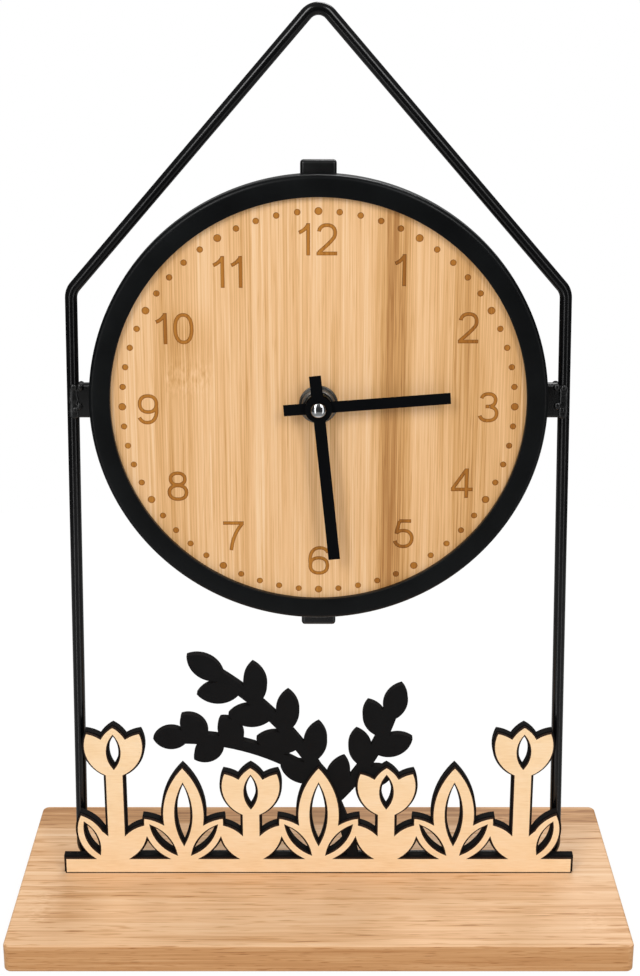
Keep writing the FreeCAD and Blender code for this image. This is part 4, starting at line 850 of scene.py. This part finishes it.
def bend(start, pull, end):
    # a gentle curve that is drawn towards one point
    points, steps = [], dialShape["curveSteps"]
    for step in range(steps + 1):
        share = step / steps
        points.append(tuple((1 - share) ** 2 * a + 2 * share * (1 - share) * b + share ** 2 * c
                            for a, b, c in zip(start, pull, end)))
    return points


def bowl(centre, radii, start, end):
    # a round part of a figure, a little square
    steps = max(dialShape["fewestSteps"], round(abs(end - start) / dialShape["arcStep"]))
    return arcPoints(centre, radii, start, end, steps, dialShape["bulge"])


def figureStrokes(figure):
    # centre lines of a plain grotesque figure, as shares of its height: strokes, ink width
    halfInk = dialShape["stroke"] / dialShape["height"] / 2
    low, high = halfInk, 1 - halfInk
    if figure == 0:
        return [bowl((0.32, 0.5), (0.26, high - 0.5), 0, 360)], 0.64
    if figure == 1:
        return [[(0.306, 0), (0.306, 1)], bend((0.3, 0.94), (0.19, 0.77), (0.02, 0.71))], 0.367
    if figure == 2:
        top = bowl((0.33, 0.7), (0.25, high - 0.7), 172, -28)
        return [top + bend(top[-1], (0.46, 0.42), (0.07, 0.09)), [(0.005, low), (0.645, low)]], 0.65
    if figure == 3:
        top = bowl((0.305, 0.735), (0.225, high - 0.735), 165, -78)
        bottom = bowl((0.305, 0.29), (0.27, 0.29 - low), 80, -167)
        return [top, bottom, [(0.22, 0.528), (0.35, 0.528)]], 0.64
    if figure == 4:
        return [[(0.5, 0), (0.5, 1)], [(0.0, 0.29), (0.7, 0.29)], [(0.05, 0.31), (0.478, 0.945)]], 0.7
    if figure == 5:
        belly = bowl((0.35, 0.335), (0.278, 0.335 - low), 140, -166)
        return [[(0.6, high), (0.215, high)], [(0.222, high), (0.118, 0.5)], belly], 0.68
    if figure == 6:
        back = bowl((0.385, 0.52), (0.32, high - 0.52), 34, 196)
        return [back, bowl((0.35, 0.325), (0.28, 0.325 - low), 0, 360)], 0.68
    if figure == 7:
        return [[(0.0, high), (0.67, high)], bend((0.63, 0.93), (0.31, 0.55), (0.255, 0.0))], 0.68
    if figure == 8:
        top = bowl((0.34, 0.745), (0.23, high - 0.745), 0, 360)
        return [top, bowl((0.34, 0.29), (0.277, 0.29 - low), 0, 360)], 0.675
    # a nine is drawn as a slimmer six and turned round
    six = [bowl((0.365, 0.52), (0.3, high - 0.52), 34, 196),
           bowl((0.33, 0.325), (0.265, 0.325 - low), 0, 360)]
    return [[(0.65 - x, 1 - z) for x, z in stroke] for stroke in six], 0.65


strokeShape = {"closed": 0.01 * mm, "sharpest": 0.6}


def addStroke(work, points, levels, halves):
    # a strip of even width along a centre line, with sloped walls: levels are depths, halves its half widths
    points = [Vector(point) for point in points]
    closed = (points[0] - points[-1]).length < strokeShape["closed"]
    if closed:
        points = points[:-1]
    count = len(points)
    rows = []
    for index, point in enumerate(points):
        before = points[index - 1] if closed or index else point
        after = points[(index + 1) % count] if closed or index < count - 1 else point
        along = (after - before).normalized()
        inward = (point - before).normalized() if (point - before).length else along
        side = Vector((-along.y, along.x))
        spread = 1 / max(strokeShape["sharpest"], abs(along.dot(inward)))
        endShift = 0 if closed or 0 < index < count - 1 else (-1 if index == 0 else 1)
        row = []
        for level, half in zip(levels, halves):
            shift = along * endShift * (half - halves[1])
            for way in (-1, 1):
                flat = point + side * way * half * spread + shift
                row.append(work.verts.new((flat.x, level, flat.y)))
        rows.append(row)
    pairs = [(rows[i], rows[(i + 1) % count]) for i in range(count if closed else count - 1)]
    for here, there in pairs:
        work.faces.new((here[0], here[1], there[1], there[0]))
        work.faces.new((here[4], there[4], there[5], here[5])).material_index = 1
        for low, high in ((0, 2), (2, 4), (1, 3), (3, 5)):
            work.faces.new((here[low], there[low], there[high], here[high]))
    if not closed:
        for row in (rows[0], rows[-1]):
            work.faces.new((row[0], row[1], row[3], row[2]))
            work.faces.new((row[2], row[3], row[5], row[4]))


def numberStrokes(number):
    # all strokes of a number, centred on its place on the dial
    figures = [int(letter) for letter in str(number)]
    height = dialShape["height"]
    shapes = [figureStrokes(figure) for figure in figures]
    width = sum(ink for _, ink in shapes) + dialShape["spacing"] * (len(shapes) - 1)
    reach, extra = dialShape["places"][number]
    angle = math.radians(360 / 12 * number + extra)
    centre = dialCentre + Vector((math.sin(angle), 0, math.cos(angle))) * reach * mm
    left = centre.x - width * height / 2
    for strokes, ink in shapes:
        for stroke in strokes:
            yield [(left + x * height, centre.z + (z - 0.5) * height) for x, z in stroke]
        left += (ink + dialShape["spacing"]) * height


def dotTree():
    tree, given = newTree("minuteDots", (
        ("Ring Radius", "Float"), ("Hour Dot", "Float"), ("Minute Dot", "Float"), ("Slope", "Float"),
        ("Depth", "Float"), ("Centre", "Vector"), ("Finish", "Material")))
    ring = addNode(tree, "GeometryNodeMeshCircle", {
        "Vertices": dialShape["dots"], "Radius": given["Ring Radius"]})
    index = addNode(tree, "GeometryNodeInputIndex")
    pastHour = addNode(tree, "ShaderNodeMath", {
        0: index, 1: dialShape["dotsPerHour"]}, operation="MODULO")
    isHour = addNode(tree, "FunctionNodeCompare", {
        0: pastHour, 1: 0.5}, data_type="FLOAT", operation="LESS_THAN")
    wide = addNode(tree, "GeometryNodeSwitch", {
        0: isHour, 1: given["Minute Dot"], 2: given["Hour Dot"]}, input_type="FLOAT")
    share = addNode(tree, "ShaderNodeMath", {0: wide, 1: given["Minute Dot"]}, operation="DIVIDE")
    floorRadius = addNode(tree, "ShaderNodeMath", {
        0: given["Minute Dot"], 1: given["Slope"]}, operation="SUBTRACT")
    cutter = addNode(tree, "GeometryNodeMeshCone", {
        "Vertices": dialShape["dotSteps"], "Radius Top": floorRadius,
        "Radius Bottom": given["Minute Dot"], "Depth": given["Depth"]})
    size = addNode(tree, "ShaderNodeCombineXYZ", {0: share, 1: share, 2: 1.0})
    dots = addNode(tree, "GeometryNodeInstanceOnPoints", {
        "Points": ring, "Instance": cutter, "Scale": size})
    upright = addNode(tree, "GeometryNodeTransform", {
        "Geometry": dots, "Translation": given["Centre"], "Rotation": (-math.pi / 2, 0, 0)})
    return closeTree(tree, upright, given["Finish"], smooth=False)


def makeDial():
    low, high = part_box("dial")
    slope, depth, clear = dialShape["wallSlope"], dialShape["depth"], dialShape["clear"]
    half = dialShape["stroke"] / 2
    levels = (low.y - clear, low.y, low.y + depth)
    halves = (half + slope * clear / depth, half, half - slope)
    work = bmesh.new()
    for number in range(1, 13):
        for stroke in numberStrokes(number):
            addStroke(work, stroke, levels, halves)
    bmesh.ops.recalc_face_normals(work, faces=work.faces)
    # the walls of each cut take the darker finish, painted shade inside the cut; the floors take the burnt
    # one
    cutFinishes = (finish["engravedWall"], finish["engravedFloor"])
    figures = newPiece("figureCutter", fill(bpy.data.meshes.new("figureCutter"), work, cutFinishes))
    full = depth + clear
    grade = slope / depth
    dots = grow("dotCutter", dotTree(), {
        "Ring Radius": dialShape["dotRing"], "Hour Dot": dialShape["hourDot"] + grade * clear,
        "Minute Dot": dialShape["minuteDot"] + grade * clear, "Slope": grade * full, "Depth": full,
        "Centre": (dialCentre.x, low.y - clear, dialCentre.z), "Finish": finish["engravedWall"]})
    dots.data.materials.clear()
    for material in cutFinishes:
        dots.data.materials.append(material)
    for face in dots.data.polygons:
        face.material_index = 1 if face.normal.y > dialShape["floorFacing"] else 0
    dial = cadCopy("dial", "engravedDial", [finish["dialBamboo"]])
    carve(dial, dots, figures, crossing=figures)
    settle(shade(dial, dialShape["smooth"]), "dial")


makeDial()
print("dial engraved")


# hands and the turned parts round the spindle

hubShape = {
    "hour_hand": ("hourHand", 0.07 * mm, "mattPaint"),
    "minute_hand": ("minuteHand", 0.07 * mm, "mattPaint"),
    "dial_washer": ("dialWasher", 0.06 * mm, "turnedSteel", 20),
    "lock_nut": ("lockNut", 0.07 * mm, "turnedSteel", 20),
    "threaded_bush": ("threadedBush", 0.1 * mm, "turnedBrass"),
}
capShape = {
    "bore": 3.2 * mm, "grip": 0.8 * mm, "edge": 0.06 * mm, "tip": 0.02 * mm, "turns": 64, "smooth": 40,
    # the dome's radius and where its shoulder starts, as shares of the cap's own radius
    "dome": 1.7, "domeSteps": 14, "shoulder": 0.88, "shoulderSteps": 8,
}


def makeCap():
    low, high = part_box("cap_nut")
    radius, edge, tip = (high.x - low.x) / 2, capShape["edge"], capShape["tip"]
    # a low dome, then a shoulder that turns down into the side
    dome, steps = radius * capShape["dome"], capShape["domeSteps"]
    spread = math.asin(radius * capShape["shoulder"] / dome)
    profile = [(tip, low.y)]
    for step in range(1, steps + 1):
        angle = spread * step / steps
        profile.append((dome * math.sin(angle), low.y + dome * (1 - math.cos(angle))))
    shoulderX, shoulderY = profile[-1]
    arc, steps = (radius - shoulderX) / (1 - math.sin(spread)), capShape["shoulderSteps"]
    for step in range(1, steps + 1):
        angle = spread + (math.pi / 2 - spread) * step / steps
        profile.append((radius - arc + arc * math.sin(angle),
                        shoulderY + arc * (math.cos(spread) - math.cos(angle))))
    bore, floor = capShape["bore"] / 2, high.y - capShape["grip"]
    profile += [(radius, high.y - edge), (radius - edge, high.y), (bore, high.y), (bore, floor),
                (tip, floor)]
    cap = lathe("capNut", profile, capShape["turns"], [finish["polishedChrome"]])
    settle(shade(cap, capShape["smooth"]), "cap_nut")


makeSoftened(hubShape)
makeCap()
print("hands and hub made")


# ornament in front of the bar

ornamentShape = {"edge": 0.08 * mm, "boardEdge": 0.14 * mm, "scorchedRim": 0.4 * mm, "cutLimit": 0.97}


def makeOrnament():
    pairs = (("ornament_face", "ornamentVeneer", "edge", ornamentShape["scorchedRim"],
              "poplarVeneer", "scorchedVeneer"),
             ("ornament_backing", "ornamentBacking", "boardEdge", 0.0, "blackFibreboard", "charredEdge"))
    for node, name, edge, rim, flat, cut in pairs:
        layer = softened(node, name, ornamentShape[edge], [finish[flat], finish[cut]], rim=rim)
        for face in layer.data.polygons:
            if abs(face.normal.y) < ornamentShape["cutLimit"]:
                face.material_index = 1
        settle(layer, node)


makeOrnament()
print("ornament made")


# movement on the back

movementShape = {
    "movement_case": ("movementCase", 0.45 * mm, "grainedAbs"),
    "movement_cover": ("movementCover", 0.3 * mm, "grainedAbs"),
    "setting_knob": ("settingKnob", 0.12 * mm, "smoothAbs"),
    "battery_cell": ("batteryCell", 0.15 * mm, "cellSleeve"),
    "dial_screws": ("dialScrews", 0.06 * mm, "zincPlate"),
}
markShape = {
    "stroke": 0.7 * mm, "height": 0.25 * mm, "sunk": 0.1 * mm, "slope": 0.08 * mm, "smooth": 30,
    "arrowGap": 3.2 * mm, "arrowFrom": 150, "arrowTo": -40, "arrowSteps": 24,
    "barb": 2.2 * mm, "barbLean": 40, "size": 3 * mm, "aside": 19 * mm, "above": 4.5 * mm,
}


def makeMarks():
    # raised in the cover's mould: a turned arrow round the knob, plus and minus over the cell's ends
    coverLow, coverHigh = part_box("movement_cover")
    knobLow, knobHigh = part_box("setting_knob")
    knob = (knobLow + knobHigh) / 2
    radius = (knobHigh.x - knobLow.x) / 2 + markShape["arrowGap"]
    turn = arcPoints((knob.x, knob.z), (radius, radius), markShape["arrowFrom"], markShape["arrowTo"],
                     markShape["arrowSteps"])
    tip, barb = turn[-1], markShape["barb"]
    strokes = [turn]
    for way in (-1, 1):
        angle = math.radians(markShape["arrowTo"] + 90 + way * markShape["barbLean"])
        strokes.append([tip, (tip[0] + barb * math.cos(angle), tip[1] + barb * math.sin(angle))])
    half, markZ = markShape["size"] / 2, coverLow.z + markShape["above"]
    for side in (-1, 1):
        x = side * markShape["aside"]
        strokes.append([(x - half, markZ), (x + half, markZ)])
        if side > 0:
            strokes.append([(x, markZ - half), (x, markZ + half)])
    base = coverHigh.y
    wide = markShape["stroke"] / 2
    levels = (base - markShape["sunk"], base + markShape["height"] / 2, base + markShape["height"])
    work = bmesh.new()
    for stroke in strokes:
        addStroke(work, stroke, levels, (wide, wide, wide - markShape["slope"]))
    marks = newPiece("coverMarks", meshOf("coverMarks", work, [finish["smoothAbs"]] * 2))
    attach(shade(marks, markShape["smooth"]), "movement_cover")


makeSoftened(movementShape)
makeMarks()
print("movement made")


# construction nodes that stay as they are, in their own finish

keptNodes = {
    "zincPlate": ("frame_studs", "stud_washers", "stud_nuts"),
    "nitrileRubber": ("rubber_washer",),
    "turnedBrass": ("minute_pipe",),
    "whiteAcetal": ("setting_wheel", "centre_wheel", "third_wheel", "seconds_wheel", "intermediate_wheel",
                    "rotor_pinion", "gear_plate", "coil_bobbin"),
    "blackAcetal": ("hour_wheel",),
    "nickelPlate": ("rotor_magnet",),
    "annealedIron": ("stator", "coil_core"),
    "enamelledCopper": ("coil_winding",),
    "greenLaminate": ("circuit_board",),
    "drawnCan": ("quartz_crystal",),
    "contactSteel": ("positive_contact", "negative_contact"),
}
for finishName, names in keptNodes.items():
    for name in names:
        for slot in cadNodes[name].material_slots:
            slot.material = finish[finishName]
print("inner parts finished")


# floor, light and camera

floorShape = {
    "radius": 0.45, "steps": 96, "colour": "#D0CFCD",
    # how far it glows of itself where it is seen, and how brightly; in mirrors, a pool and a faint rest
    "seenShare": 0.88, "seenLevel": 1.06, "pool": (0.07, 0.15), "glow": 0.28,
}
worldShape = {
    "fill": 0.64,
    # what mirrors see: a dim room whose ceiling and wall set in over such a range of heights and depths
    "room": 0.05, "ceiling": 0.3, "ceilingFrom": (0.3, 0.8), "wall": 0.36, "wallFrom": (0.86, 0.96),
    # bearing and reach in degrees and level of each strip light, and the heights between which they fade
    "strips": ((-30, 7, 4.6), (41, 7, 3.2)), "stripTop": (0.4, 0.7),
}
lampShape = {
    # place, size and power of each softbox, all turned to one target
    "boxes": (((-0.5, -0.82, 0.84), (0.24, 0.6), 4.5), ((0.5, -0.82, 0.84), (0.24, 0.6), 3.8),
              ((0.2, 0.85, 1.0), (0.5, 0.5), 5.0)),
    "target": (0, 0, 0.15),
}
cameraShape = {"place": (0.0005, -0.5580, 0.3428), "tilt": 71.34, "lens": 65.66, "sensor": 36.0}


def makeFloor():
    material = bpy.data.materials.new("paleFloor")
    tree = emptyTree(material)
    rays = addNode(tree, "ShaderNodeLightPath").node.outputs
    seen = rays["Is Camera Ray"]
    for ray in ("Is Glossy Ray", "Is Transmission Ray"):
        seen = addNode(tree, "ShaderNodeMath", {0: seen, 1: rays[ray]}, operation="MAXIMUM")
    share = addNode(tree, "ShaderNodeMath", {0: seen, 1: floorShape["seenShare"]}, operation="MULTIPLY")
    matt = addNode(tree, "ShaderNodeBsdfDiffuse", {"Color": linear(floorShape["colour"])})
    # mirrors see a bright pool round the board; further out they look through the floor, past a faint glow
    place = addNode(tree, "ShaderNodeTexCoord", output="Object")
    away = addNode(tree, "ShaderNodeVectorMath", {0: place}, output="Value", operation="LENGTH")
    near, far = floorShape["pool"]
    pool = addNode(tree, "ShaderNodeMapRange", {
        "Value": away, "From Min": far, "From Max": near}, interpolation_type="SMOOTHSTEP")
    white, glow = (addNode(tree, "ShaderNodeEmission", {
        "Color": (1, 1, 1, 1), "Strength": floorShape[level]}) for level in ("seenLevel", "glow"))
    clear = addNode(tree, "ShaderNodeBsdfTransparent")
    outer = addNode(tree, "ShaderNodeAddShader", {0: clear, 1: glow})
    mirrored = addNode(tree, "ShaderNodeMixShader", {0: pool, 1: outer, 2: white})
    shown = addNode(tree, "ShaderNodeMixShader", {0: rays["Is Camera Ray"], 1: mirrored, 2: white})
    surface = addNode(tree, "ShaderNodeMixShader", {0: share, 1: matt, 2: shown})
    addNode(tree, "ShaderNodeOutputMaterial", {"Surface": surface})
    work = bmesh.new()
    bmesh.ops.create_circle(work, cap_ends=True, radius=floorShape["radius"], segments=floorShape["steps"])
    floor = newPiece("floor", fill(bpy.data.meshes.new("floor"), work, [material]))


def makeWorld():
    # plain fill light that is white where it is seen; mirrors see a grey wall behind the clock,
    # a grey ceiling and a dim room in front with two upright strip lights
    world = bpy.data.worlds.new("studio")
    scene.world = world
    tree = emptyTree(world)
    rays = addNode(tree, "ShaderNodeLightPath").node.outputs
    direction = addNode(tree, "ShaderNodeTexCoord", output="Generated")
    parts = addNode(tree, "ShaderNodeSeparateXYZ", {0: direction}).node.outputs
    start, end = worldShape["ceilingFrom"]
    room = addNode(tree, "ShaderNodeMapRange", {
        "Value": parts["Z"], "From Min": start, "From Max": end, "To Min": worldShape["room"],
        "To Max": worldShape["ceiling"]}, interpolation_type="SMOOTHSTEP")
    start, end = worldShape["wallFrom"]
    wall = addNode(tree, "ShaderNodeMapRange", {
        "Value": parts["Y"], "From Min": start, "From Max": end}, interpolation_type="SMOOTHSTEP")
    mirrored = addNode(tree, "ShaderNodeMix", {
        0: wall, 2: room, 3: worldShape["wall"]}, data_type="FLOAT")
    inFront = addNode(tree, "ShaderNodeMath", {0: parts["Y"], 1: -1.0}, operation="MULTIPLY")
    bearing = addNode(tree, "ShaderNodeMath", {0: parts["X"], 1: inFront}, operation="ARCTAN2")
    top, end = worldShape["stripTop"]
    height = addNode(tree, "ShaderNodeMath", {0: parts["Z"]}, operation="ABSOLUTE")
    fade = addNode(tree, "ShaderNodeMapRange", {
        "Value": height, "From Min": end, "From Max": top}, interpolation_type="SMOOTHSTEP")
    for centre, reach, level in worldShape["strips"]:
        strip = nearness(tree, bearing, math.radians(centre), math.radians(reach))
        strip = addNode(tree, "ShaderNodeMath", {0: strip, 1: fade}, operation="MULTIPLY")
        mirrored = addUp(tree, mirrored, strip, level)
    inMirror = addNode(tree, "ShaderNodeMath", {
        0: rays["Is Glossy Ray"], 1: rays["Is Transmission Ray"]}, operation="MAXIMUM")
    unseen = addNode(tree, "ShaderNodeMix", {
        0: inMirror, 2: worldShape["fill"], 3: mirrored}, data_type="FLOAT")
    level = addNode(tree, "ShaderNodeMix", {
        0: rays["Is Camera Ray"], 2: unseen, 3: 1.0}, data_type="FLOAT")
    light = addNode(tree, "ShaderNodeBackground", {"Color": (1, 1, 1, 1), "Strength": level})
    addNode(tree, "ShaderNodeOutputWorld", {"Surface": light})


def makeLights():
    for index, (place, size, power) in enumerate(lampShape["boxes"]):
        lamp = bpy.data.lights.new(f"softbox{index}", "AREA")
        lamp.shape, lamp.size, lamp.size_y, lamp.energy = "RECTANGLE", size[0], size[1], power
        holder = bpy.data.objects.new(f"softbox{index}", lamp)
        scene.collection.objects.link(holder)
        aim = Vector(lampShape["target"]) - Vector(place)
        holder.location, holder.rotation_euler = place, aim.to_track_quat("-Z", "Y").to_euler()


def makeCamera():
    camera = bpy.data.cameras.new("camera")
    camera.lens, camera.sensor_width = cameraShape["lens"], cameraShape["sensor"]
    holder = bpy.data.objects.new("camera", camera)
    holder.location = cameraShape["place"]
    holder.rotation_euler = (math.radians(cameraShape["tilt"]), 0, 0)
    scene.collection.objects.link(holder)
    scene.camera = holder


makeFloor()
makeWorld()
makeLights()
makeCamera()
scene.view_settings.view_transform = "Standard"
print("stage, light and camera ready")
